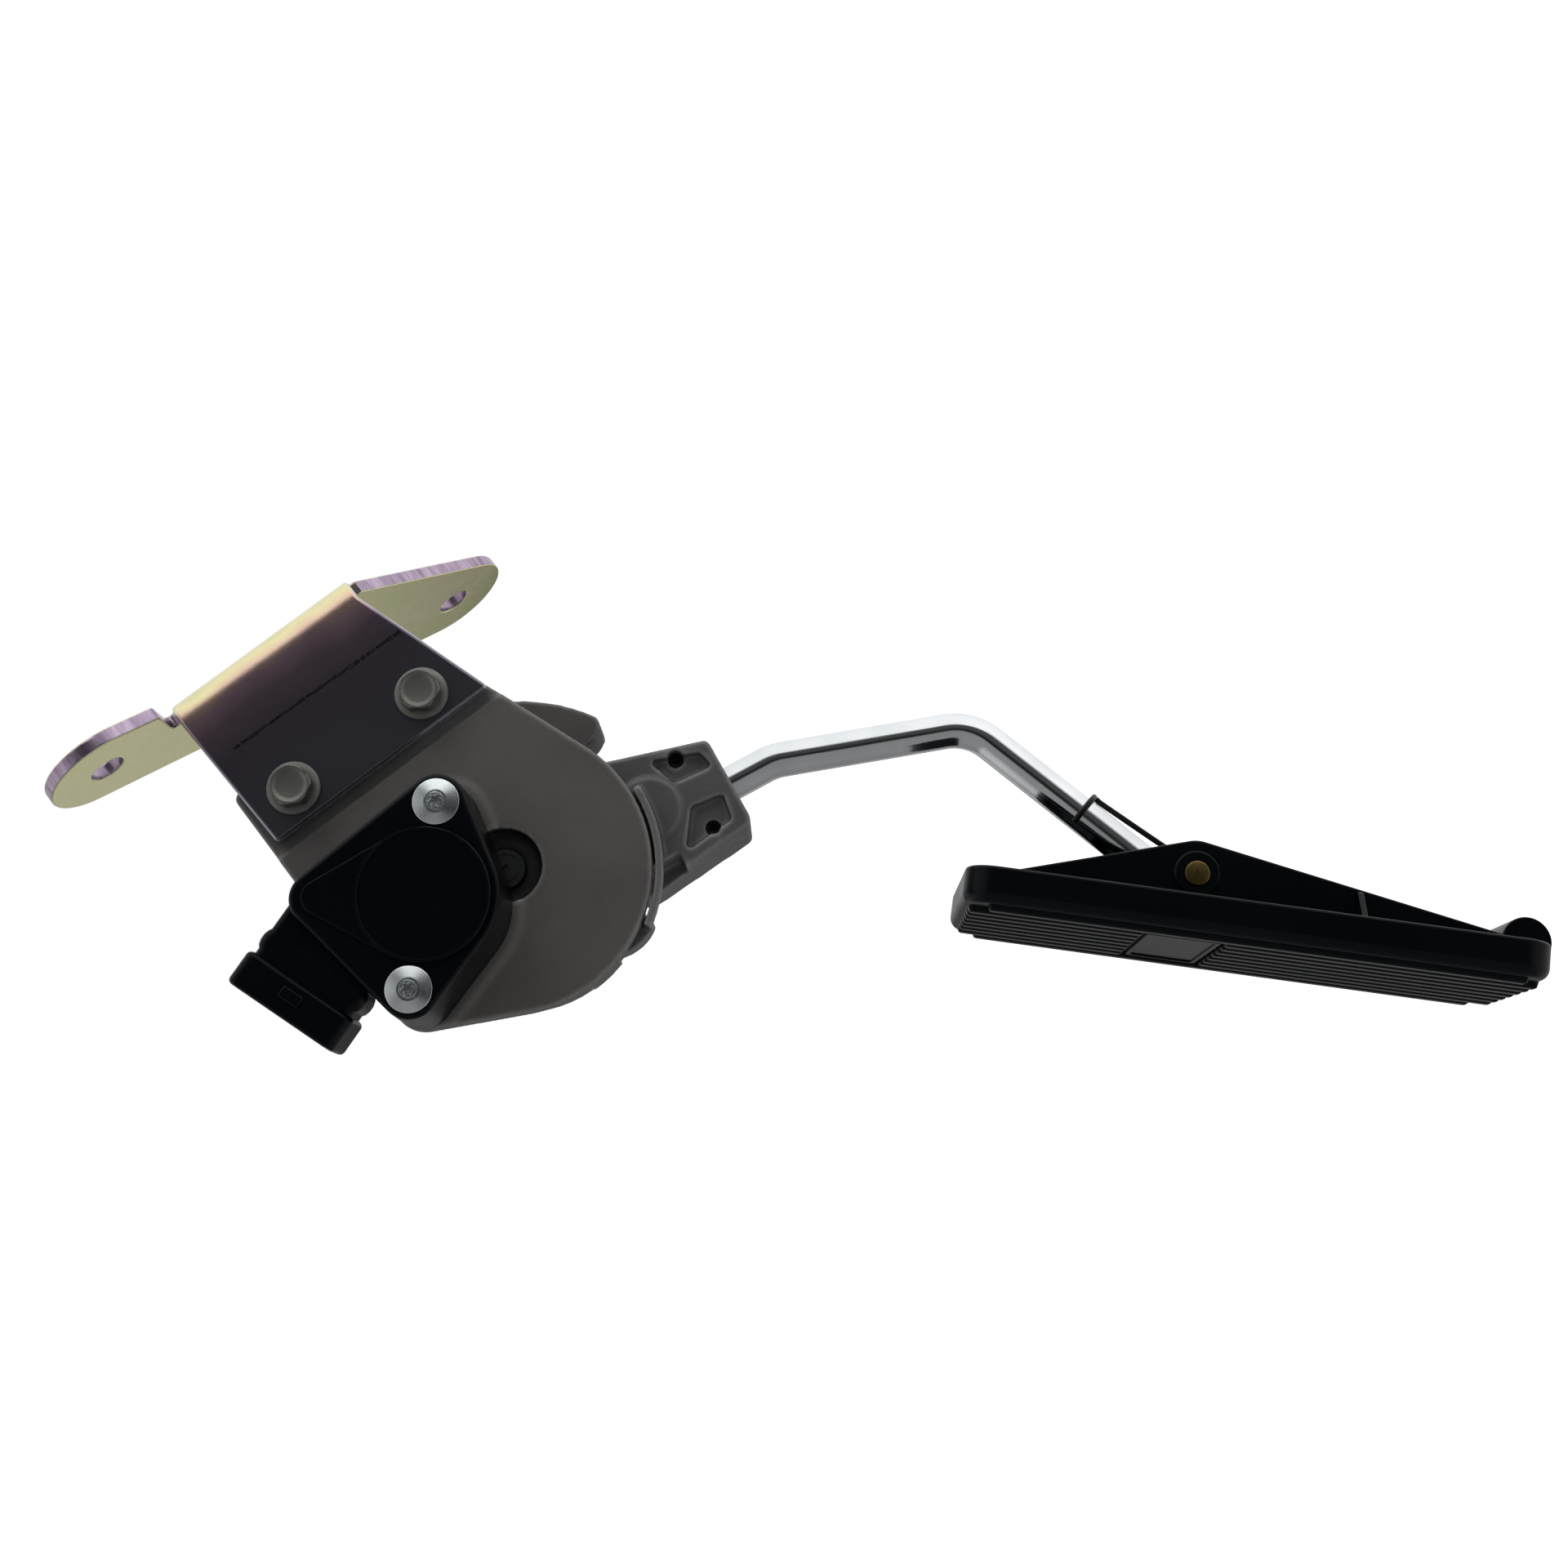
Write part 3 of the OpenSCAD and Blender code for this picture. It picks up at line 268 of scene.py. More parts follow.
class Solid:
    """A piece in the making: closed shells gathered in millimetres and built as one object."""

    def __init__(self) -> None:
        """Starts with nothing in it."""
        self.points: list[np.ndarray] = []
        self.faces: list[tuple[int, ...]] = []
        self.count = 0

    def add(self, points: np.ndarray, faces: Sequence[Sequence[int]]) -> "Solid":
        """Adds a shell.

        Args:
            points: rows of x, y, z in millimetres.
            faces: point numbers of each face, anticlockwise from outside.
        Returns:
            The piece itself.
        """
        self.points.append(np.asarray(points, float))
        self.faces += [tuple(int(i) + self.count for i in f) for f in faces]
        self.count += len(points)
        return self

    def slab(self, outline: np.ndarray, low: float, high: float, low_r: float = 0.4, high_r: float = 0.4,
             holes: Sequence[np.ndarray] = (), place: Move = along_x,
             steps: int = 3, draft: float = 0.0) -> "Solid":
        """Plate of any outline with rounded rims; a hole's outline moves out where the plate's moves in.

        Args:
            outline: anticlockwise points of the outline.
            low: lower face.
            high: upper face.
            low_r: rim radius of the lower face.
            high_r: rim radius of the upper face.
            holes: anticlockwise outlines of through holes.
            place: turns (a, b, height) rows into (x, y, z) rows.
            steps: segments per rim.
            draft: inset of the upper face, reached evenly with height.
        Returns:
            The piece itself.
        """
        inset, height = np.array(rim(low_r, low, 1, steps) + rim(high_r, high, -1, steps)).T
        inset = inset + draft * (height - low) / (high - low)
        faces, points, loops, base = [], [], [], 0
        for sign, ring in [(1, outline), *((-1, hole) for hole in holes)]:
            grid = ring[None] - sign * inset[:, None, None] * outward(ring)[None]
            level = np.repeat(height[:, None, None], len(ring), axis=1)
            points.append(np.concatenate([grid, level], axis=2).reshape(-1, 3))
            index = base + np.arange(level.size).reshape(len(height), len(ring))
            faces += [q[::sign] for q in quads(index[:-1], index[1:])]
            loops.append(index)
            base += level.size
        flat = np.vstack(points)
        for row, upper in ((0, False), (-1, True)):
            ids = [loop[row] for loop in loops]
            joined = np.concatenate(ids)
            for tri in tessellate_polygon([[Vector((*flat[k][:2], 0.0)) for k in loop] for loop in ids]):
                q = joined[list(tri)]
                (ax, ay), (bx, by), (cx, cy) = flat[q][:, :2]
                turned = (bx - ax) * (cy - ay) - (by - ay) * (cx - ax) > 0
                faces.append(tuple(q if turned == upper else q[::-1]))
        return self.add(place(flat), faces)

    def lathe(self, profile: Sequence[Sequence[float]], at: np.ndarray, x0: float, count: int = 48,
              place: Move = along_x, ring: bool = False) -> "Solid":
        """Turned shape about an axis: radius r at height h gives r (cos a, sin a) round the axis.

        Args:
            profile: rows of radius and height, up the outer side, and for a ring then down the inner one.
            at: the axis' place in the profile's plane.
            x0: height of the profile's zero.
            count: segments round the axis.
            place: turns (a, b, height) rows into (x, y, z) rows.
            ring: whether the profile closes on itself, instead of ending in flat caps.
        Returns:
            The piece itself.
        """
        p = np.asarray(profile, float)
        return self.grid(ring_grid(np.repeat(p[:, :1], count, axis=1), x0 + p[:, 1], at), place, ring)

    def grid(self, grid: np.ndarray, place: Move = np.copy,
             ring: bool = False) -> "Solid":
        """Surface of a grid of points, rows going up and columns closing round, with a flat cap at each end.

        Args:
            grid: rows by columns by 3.
            place: turns grid points into (x, y, z) rows.
            ring: whether the rows close too, instead of ending in caps.
        Returns:
            The piece itself.
        """
        index = np.arange(grid.shape[0] * grid.shape[1]).reshape(grid.shape[:2])
        if ring:
            faces = quads(index, np.roll(index, -1, 0))
        else:
            faces = quads(index[:-1], index[1:]) + [tuple(index[0][::-1]), tuple(index[-1])]
        return self.add(place(grid.reshape(-1, 3)), faces)

    def tube(self, path: np.ndarray, r: float | np.ndarray, count: int = 20, ends: float = 0.0) -> "Solid":
        """Round wire along a path: each ring is centre + r (cos a n + sin a b), with n carried without twist.

        Args:
            path: rows of x, y, z.
            r: radius, one or one per row.
            count: points round the wire.
            ends: radius of the rounding at both ends.
        Returns:
            The piece itself.
        """
        r = np.broadcast_to(np.asarray(r, float), (len(path),)).copy()
        if ends > 0:
            t = np.linspace(0, math.pi / 2, 4)[:-1]
            t0, t1 = path[0] - path[1], path[-1] - path[-2]
            t0, t1 = t0 / np.linalg.norm(t0), t1 / np.linalg.norm(t1)
            lead = np.array([path[0] + t0 * (ends * math.cos(a) - ends) for a in t])
            tail = np.array([path[-1] + t1 * (ends * math.cos(a) - ends) for a in t[::-1]])
            small = np.array([r[0] - ends * (1 - math.sin(a)) for a in t])
            path = np.vstack([lead, path[0] - t0 * ends, path[1:-1], path[-1] - t1 * ends, tail])
            r = np.concatenate([small, r, small[::-1]])
        tangent = np.gradient(path, axis=0)
        tangent /= np.linalg.norm(tangent, axis=1, keepdims=True)
        n = np.cross(tangent[0], [0.31, 0.83, 0.47])
        normals = []
        for t in tangent:
            n = n - t * np.dot(n, t)
            n = n / np.linalg.norm(n)
            normals.append(n)
        normal = np.array(normals)
        side = np.cross(tangent, normal)
        a = round_angles(count)
        grid = path[:, None] + r[:, None, None] * (
            np.cos(a)[None, :, None] * normal[:, None] + np.sin(a)[None, :, None] * side[:, None])
        return self.grid(grid)

    def build(self, name: str, finish: "Finish", body: str, slot: str, replaced: Sequence[str]) -> bpy.types.Object:
        """Makes the object and hands it to its CAD body.

        Args:
            name: the piece's name.
            finish: its material.
            body: the CAD body it rides on.
            slot: the record's material slot it stands for; not used.
            replaced: CAD nodes that it replaces.
        Returns:
            The object.
        """
        mesh = bpy.data.meshes.new(name)
        mesh.from_pydata((np.vstack(self.points) * MM).tolist(), [], self.faces)
        mesh.validate()
        return settle(mesh, finish, body, replaced)


def linked(name: str, data: bpy.types.ID) -> bpy.types.Object:
    """New object in the scene.

    Args:
        name: its name.
        data: its mesh, lamp or camera.
    Returns:
        The object.
    """
    obj = bpy.data.objects.new(name, data)
    bpy.context.scene.collection.objects.link(obj)
    return obj


def reshape(mesh: bpy.types.Mesh, shape: Move, unit: float = MM) -> None:
    """Moves a mesh's points and leaves them in metres.

    Args:
        mesh: the mesh.
        shape: gives the new places in millimetres for the old ones.
        unit: the mesh's unit for a millimetre.
    """
    places = np.empty(len(mesh.vertices) * 3)
    mesh.vertices.foreach_get("co", places)
    mesh.vertices.foreach_set("co", shape(places.reshape(-1, 3) / unit).ravel() * MM)


def settle(mesh: bpy.types.Mesh, finish: "Finish", body: str, replaced: Sequence[str],
           smooth: float = 32.0, weighted: bool = True) -> bpy.types.Object:
    """Links a mesh as a finished piece of its own name.

    Args:
        mesh: its mesh.
        finish: its material.
        body: the CAD body it rides on.
        replaced: CAD nodes that it replaces.
        smooth: edges steeper than this many degrees stay sharp.
        weighted: whether large faces lead the shading of their rims.
    Returns:
        The object.
    """
    obj = linked(mesh.name, mesh)
    mesh.polygons.foreach_set("use_smooth", np.ones(len(mesh.polygons), bool))
    mesh.set_sharp_from_angle(angle=math.radians(smooth))
    if weighted:
        mod = obj.modifiers.new("weighted", "WEIGHTED_NORMAL")
        mod.keep_sharp, mod.weight = True, 90
    mesh.materials.append(finish.material())
    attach(obj, body)
    if replaced:
        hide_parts(*replaced)
    LOG.info("%s: %d faces on %s", obj.name, len(mesh.polygons), body)
    return obj


# Finishes


def linear(hex_colour: str) -> tuple[float, float, float, float]:
    """Linear colour of an sRGB hex value: c / 12.92 below 0.04045, else ((c + 0.055) / 1.055) ^ 2.4."""
    c = [int(hex_colour.lstrip("#")[i:i + 2], 16) / 255 for i in (0, 2, 4)]
    return tuple(v / 12.92 if v <= 0.04045 else ((v + 0.055) / 1.055) ** 2.4 for v in c) + (1.0,)


def node(tree: bpy.types.NodeTree, kind: str, inputs: dict[Any, Any] | None = None,
         stops: Sequence[tuple[float, float | str]] = (), **settings: Any) -> bpy.types.Node:
    """Adds a node.

    Args:
        tree: the node tree.
        kind: the node's type without "ShaderNode".
        inputs: by socket name or number, a value, an output socket, or a node whose first output is taken.
        stops: a colour ramp's positions, each with its grey level or hex colour.
        settings: the node's own attributes.
    Returns:
        The node.
    """
    made = tree.nodes.new("ShaderNode" + kind)
    for key, setting in settings.items():
        setattr(made, key, setting)
    for key, given in (inputs or {}).items():
        source = given.outputs[0] if isinstance(given, bpy.types.Node) else given
        if isinstance(source, bpy.types.NodeSocket):
            tree.links.new(source, made.inputs[key])
        else:
            made.inputs[key].default_value = source
    if stops:
        band = made.color_ramp.elements
        while len(band) < len(stops):
            band.new(0.5)
        for element, (at, shade) in zip(band, stops):
            element.position = at
            element.color = linear(shade) if isinstance(shade, str) else (shade, shade, shade, 1.0)
    return made


def empty_tree(owner: bpy.types.Material | bpy.types.World) -> bpy.types.NodeTree:
    """Node tree of a material or a world, with nothing in it.

    Args:
        owner: the material or the world.
    Returns:
        Its tree.
    """
    owner.use_nodes = True
    owner.node_tree.nodes.clear()
    return owner.node_tree


def grain(place: Any, size_mm: float, detail: float = 3.0) -> dict[str, Any]:
    """Inputs of a noise texture whose features are about size_mm across, at places in metres."""
    return {"Vector": place, "Scale": 1.0 / (size_mm * MM), "Detail": detail, "Roughness": 0.55}


class Pattern(Enum):
    """How a surface was made, which sets the lines in its fine pattern."""

    MOULDED = "moulded"
    CAST = "cast"
    PLATED = "plated"
    DRAWN = "drawn"
    TURNED = "turned"


@dataclass(frozen=True)
class Finish:
    """A surface's look: two sRGB colours that drift over blotch_mm, and a fine pattern of grain_mm.

    relief is the fine pattern's bump strength, rough_swing how far the roughness strays to either side, and
    the last two fields the share and colour of paler convex edges: partly wear, partly a painted highlight.
    """

    name: str
    colour: str
    second: str
    rough: float
    metallic: float
    pattern: Pattern
    grain_mm: float
    relief: float
    blotch_mm: float
    rough_swing: float
    specular: float = 0.5
    wear_and_highlight: float = 0.0
    wear_and_highlight_colour: str = "#a3a19d"

    def material(self) -> bpy.types.Material:
        """The material, made on first use.

        Returns:
            The material.
        """
        found = bpy.data.materials.get(self.name)
        if found:
            return found
        made = bpy.data.materials.new(self.name)
        tree = empty_tree(made)
        colour, rough, normal = self.layers(tree, node(tree, "TexCoord").outputs["Object"])
        shader = node(tree, "BsdfPrincipled", {
            "Base Color": colour, "Metallic": self.metallic, "Roughness": rough, "Normal": normal,
            "Specular IOR Level": self.specular})
        node(tree, "OutputMaterial", {"Surface": shader})
        return made

    def layers(self, tree: bpy.types.NodeTree, place: Any) -> tuple[Any, Any, Any]:
        """Colour, roughness and normal of the surface.

        Args:
            tree: the node tree.
            place: the place on the object.
        Returns:
            Three output sockets.
        """
        # Most of a noise lies between 0.3 and 0.7, and convex edges start at a pointiness of about 0.51.
        blotch = node(tree, "TexNoise", grain(place, self.blotch_mm))
        colour = node(tree, "ValToRGB", {0: blotch}, [(0.32, self.colour), (0.68, self.second)]).outputs[0]
        # Paler convex edges: partly wear, partly a painted highlight.
        if self.wear_and_highlight > 0:
            crest = node(tree, "NewGeometry").outputs["Pointiness"]
            wear_and_highlight_mask = node(tree, "MapRange", {0: crest, 1: 0.51, 2: 0.56, 4: self.wear_and_highlight})
            colour = node(tree, "Mix", {0: wear_and_highlight_mask, 6: colour, 7: linear(self.wear_and_highlight_colour)},
                          data_type="RGBA").outputs[2]
        fine = node(tree, "TexNoise", grain(self.stretched(tree, place), self.grain_mm, 4.0))
        half = node(tree, "Math", {0: blotch, 1: 0.5}, operation="MULTIPLY")
        mixed = node(tree, "Math", {0: fine, 1: 0.5, 2: half}, operation="MULTIPLY_ADD")
        rough = node(tree, "MapRange", {0: mixed, 1: 0.3, 2: 0.7, 3: self.rough - self.rough_swing,
                                        4: self.rough + self.rough_swing}).outputs[0]
        bump = node(tree, "Bump", {"Height": fine, "Strength": self.relief, "Distance": self.grain_mm * MM / 4})
        return colour, rough, bump.outputs["Normal"]

    def stretched(self, tree: bpy.types.NodeTree, place: Any) -> Any:
        """Coordinates for the fine pattern, drawn out along X where the making leaves lines.

        Args:
            tree: the node tree.
            place: the place on the object.
        Returns:
            A socket or a node.
        """
        if self.pattern is Pattern.TURNED:
            return node(tree, "Mapping", {"Vector": place, "Scale": (0.2, 1.0, 1.0)})
        if self.pattern is Pattern.DRAWN:
            bar = node(tree, "Attribute", attribute_name="bar").outputs["Vector"]
            return node(tree, "Mapping", {"Vector": bar, "Scale": (0.02, 1.0, 1.0)})
        return place


@dataclass(frozen=True)
class Passivated(Finish):
    """Yellow passivated zinc: the film's thickness drifts, so pale yellow-green runs into pink and purple.

    The leg's film takes over between the two places of leg_x along X, inside those of leg_z to either side of the
    middle, and past those of leg_y; leg_film is its extent along Y. All are in metres.
    """

    leg_x: tuple[float, float] = (0.022, 0.027)
    leg_z: tuple[float, float] = (0.0292, 0.0302)
    leg_y: tuple[float, float] = (-0.0045, -0.007)
    leg_film: float = -0.048

    def layers(self, tree: bpy.types.NodeTree, place: Any) -> tuple[Any, Any, Any]:
        """Colour by place: pale on the ears, gold to pink over the bend, dark violet grey on the leg's face.

        Args:
            tree: the node tree.
            place: the place on the object.
        Returns:
            Three output sockets.
        """
        _, rough, normal = super().layers(tree, place)
        split = node(tree, "SeparateXYZ", {0: place}).outputs
        drift = node(tree, "TexNoise", grain(place, 30.0, 2.0))
        shift = node(tree, "MapRange", {0: drift, 1: 0.3, 2: 0.7, 3: -0.06, 4: 0.06})
        across = node(tree, "MapRange", {0: split["Y"], 1: 0.0, 2: self.leg_film})
        film = node(tree, "Math", {0: across, 1: shift}, operation="ADD")
        leg = node(tree, "ValToRGB", {0: film}, [
            (0.0, "#c9c79a"), (0.08, "#ded6a6"), (0.14, "#d9bba6"), (0.21, "#ad919d"), (0.32, "#7c6c7b"),
            (0.5, "#625d68"), (1.0, "#686870")])
        ear = node(tree, "ValToRGB", {0: drift}, [(0.3, "#dfe1a8"), (0.6, "#e6e2b4"), (0.75, "#d9ccab")])
        on_leg = node(tree, "MapRange", {0: split["X"], 1: self.leg_x[0], 2: self.leg_x[1]})
        off_middle = node(tree, "Math", {0: split["Z"]}, operation="ABSOLUTE")
        near = node(tree, "MapRange", {0: off_middle, 1: self.leg_z[0], 2: self.leg_z[1], 3: 1.0, 4: 0.0})
        both = node(tree, "Math", {0: on_leg, 1: near}, operation="MULTIPLY")
        past = node(tree, "MapRange", {0: split["Y"], 1: self.leg_y[0], 2: self.leg_y[1]})
        either = node(tree, "Math", {0: both, 1: past}, operation="MAXIMUM")
        out = node(tree, "Mix", {0: either, 6: ear, 7: leg}, data_type="RGBA").outputs[2]
        marks = node(tree, "TexNoise", grain(node(tree, "Mapping", {"Vector": place, "Scale": (1.0, 0.15, 1.0)}), 2.2))
        lilac = node(tree, "ValToRGB", {0: marks}, [(0.3, "#7f6e83"), (0.65, "#bba8be")])
        silver = node(tree, "ValToRGB", {0: marks}, [(0.3, "#9aa2ab"), (0.7, "#c3c9cf")])
        for weight, side in zip(self.sheared(tree, split["Y"], either), (lilac, silver)):
            out = node(tree, "Mix", {0: weight, 6: out, 7: side}, data_type="RGBA").outputs[2]
        return out, rough, normal

    def sheared(self, tree: bpy.types.NodeTree, y: Any, leg: Any) -> list[bpy.types.Node]:
        """Weights of the sheet's sheared sides on the ears and on the leg.

        A side is told from a face by the normal: off Y on the ears, off X on the leg, along Z beside the bend.

        Args:
            tree: the node tree.
            y: the place's Y.
            leg: weight of the leg and the bend.
        Returns:
            The ears' weight and the leg's.
        """
        facing = node(tree, "SeparateXYZ", {0: node(tree, "NewGeometry").outputs["Normal"]}).outputs
        along = {axis: node(tree, "Math", {0: facing[axis]}, operation="ABSOLUTE") for axis in "XYZ"}
        off = {axis: node(tree, "MapRange", {0: along[axis], 1: 0.75, 2: 0.4}) for axis in "XY"}
        off_leg = node(tree, "Math", {0: 1.0, 1: leg}, operation="SUBTRACT")
        beside = node(tree, "MapRange", {0: along["Z"], 1: 0.5, 2: 0.85})
        below = node(tree, "MapRange", {0: y, 1: -0.03, 2: -0.04})
        foot = node(tree, "Math", {0: off["X"], 1: below}, operation="MULTIPLY")
        side = node(tree, "Math", {0: beside, 1: foot}, operation="MAXIMUM")
        return [node(tree, "Math", {0: edge, 1: part}, operation="MULTIPLY")
                for edge, part in ((off["Y"], off_leg), (side, leg))]


@dataclass(frozen=True)
class PocketShadedCasting(Finish):
    """Casting with painted shade in the pocket round the shaft: near black, fading out over the pocket's wall and
    floor.
    """

    pocket: tuple[float, float] = (PIVOT[0] + 0.6, PIVOT[1] - 0.2)
    wall_r: tuple[float, float] = (9.5, 10.0)
    floor_x: tuple[float, float] = (25.2, 25.8)

    def layers(self, tree: bpy.types.NodeTree, place: Any) -> tuple[Any, Any, Any]:
        """The casting's layers, with painted shade: near black within the pocket's radius of its axis and above its
        floor.

        Args:
            tree: the node tree.
            place: the place on the object.
        Returns:
            Three output sockets.
        """
        colour, rough, normal = super().layers(tree, place)
        flat = node(tree, "VectorMath", {0: place, 1: (0.0, 1.0, 1.0)}, operation="MULTIPLY")
        axis = (0.0, *(p * MM for p in self.pocket))
        away = node(tree, "VectorMath", {0: flat, 1: axis}, operation="DISTANCE").outputs["Value"]
        within = node(tree, "MapRange", {0: away, 1: self.wall_r[0] * MM, 2: self.wall_r[1] * MM, 3: 1.0, 4: 0.0})
        split = node(tree, "SeparateXYZ", {0: place}).outputs
        above = node(tree, "MapRange", {0: split["X"], 1: self.floor_x[0] * MM, 2: self.floor_x[1] * MM})
        both = node(tree, "Math", {0: within, 1: above}, operation="MULTIPLY")
        # Painted shade: the pocket round the shaft turns near black.
        dark = node(tree, "Mix", {0: both, 6: colour, 7: linear("#0a0b0d")}, data_type="RGBA")
        return dark.outputs[2], rough, normal


# Yellow passivation over bright zinc on pressed sheet: a smooth metal under a thin coloured film.
BRACKET = Passivated("passivated_zinc", "#d8d6a8", "#c9c7a0", 0.2, 0.87, Pattern.PLATED, 1.6, 0.05, 30.0, 0.05)
# Mechanical plating leaves bolts dull and even grey.
BOLT = Finish("dull_zinc_plating", "#7a7c75", "#6b6d68", 0.44, 0.8, Pattern.PLATED, 0.5, 0.15, 8.0, 0.08)
# A scribed groove down the leg, drawn as near-black strokes: painted shade in the groove.
SCRIBED_GROOVE_SHADE = Finish("scribed_groove_shade", "#09080b", "#0d0c10", 0.6, 0.0, Pattern.PLATED, 0.4, 0.2, 4.0, 0.05, 0.1)
# Shot-blasted die casting: fine pits, a grey oxide, paler convex edges that are partly wear and partly a painted
# highlight, and painted shade in the pocket round the shaft.
CASTING = PocketShadedCasting("blasted_die_casting_pocket_shade", "#5c5a58", "#504e4d", 0.58, 0.2, Pattern.CAST, 0.9, 0.3, 34.0, 0.08,
                wear_and_highlight=0.5)
# The lever's casting: paler convex edges, partly wear and partly a painted highlight.
LEVER_CAST = Finish("lever_die_casting", "#585859", "#4a4b4d", 0.5, 0.25, Pattern.CAST, 1.1, 0.22, 26.0, 0.1,
                    wear_and_highlight=0.45)
# Bright zinc on drawn bar: fine lines along the bar.
ROD = Finish("bright_zinc_bar", "#dfe2e4", "#cdd1d3", 0.12, 1.0, Pattern.DRAWN, 0.5, 0.12, 22.0, 0.05)
# Cold-headed screws keep their shine under bright zinc.
ZINC_SCREW = Finish("bright_zinc_screw", "#e6ebed", "#d9dfe2", 0.25, 1.0, Pattern.TURNED, 0.5, 0.03, 5.0, 0.06)
# Turned and ground parts show lines round them; the sintered bush is open-grained instead.
STEEL = Finish("ground_steel", "#5b5d60", "#4e5053", 0.36, 1.0, Pattern.TURNED, 0.5, 0.08, 6.0, 0.06)
BRASS = Finish("turned_brass", "#7d6c42", "#6b5b38", 0.36, 1.0, Pattern.TURNED, 0.6, 0.1, 4.0, 0.07)
BRONZE = Finish("sintered_bronze", "#8a6b3c", "#745a33", 0.5, 1.0, Pattern.CAST, 0.3, 0.2, 4.0, 0.08)
# Oil in the black oxide gives steel a dark sheen.
BLACK_OXIDE = Finish("black_oxide_steel", "#1d1d1f", "#141415", 0.34, 0.7, Pattern.PLATED, 0.5, 0.08, 5.0, 0.08)
SPRING_WIRE = Finish("oiled_spring_wire", "#3b3b3f", "#2e2e31", 0.36, 0.9, Pattern.PLATED, 0.6, 0.08, 7.0, 0.08)
# Glass-filled nylon, moulded: nearly black with a soft sheen and a fine spark-eroded grain.
PAD_PLASTIC = Finish("moulded_pad_nylon", "#03060a", "#05080d", 0.3, 0.0, Pattern.MOULDED, 0.5, 0.05, 30.0, 0.05,
                     0.12)
SENSOR_PLASTIC = Finish("moulded_sensor_nylon", "#020509", "#03060b", 0.3, 0.0, Pattern.MOULDED, 0.45, 0.05, 18.0,
                        0.05, 0.12)
# Pressed rubber is matt; unfilled nylon is a milky ivory; lacquer over the board and tin on the pins are smooth.
RUBBER = Finish("seal_rubber", "#0d0d0d", "#121212", 0.7, 0.0, Pattern.MOULDED, 0.6, 0.1, 5.0, 0.05)
NYLON = Finish("natural_nylon", "#d5cfbc", "#cbc4ae", 0.5, 0.0, Pattern.MOULDED, 0.5, 0.05, 6.0, 0.05)
BOARD = Finish("lacquered_board", "#1c4a2b", "#163f24", 0.3, 0.0, Pattern.MOULDED, 0.8, 0.05, 6.0, 0.05)
TINNED = Finish("tinned_brass", "#c9c3ae", "#b8b29d", 0.3, 1.0, Pattern.PLATED, 0.5, 0.05, 3.0, 0.05)


# Sub-assemblies


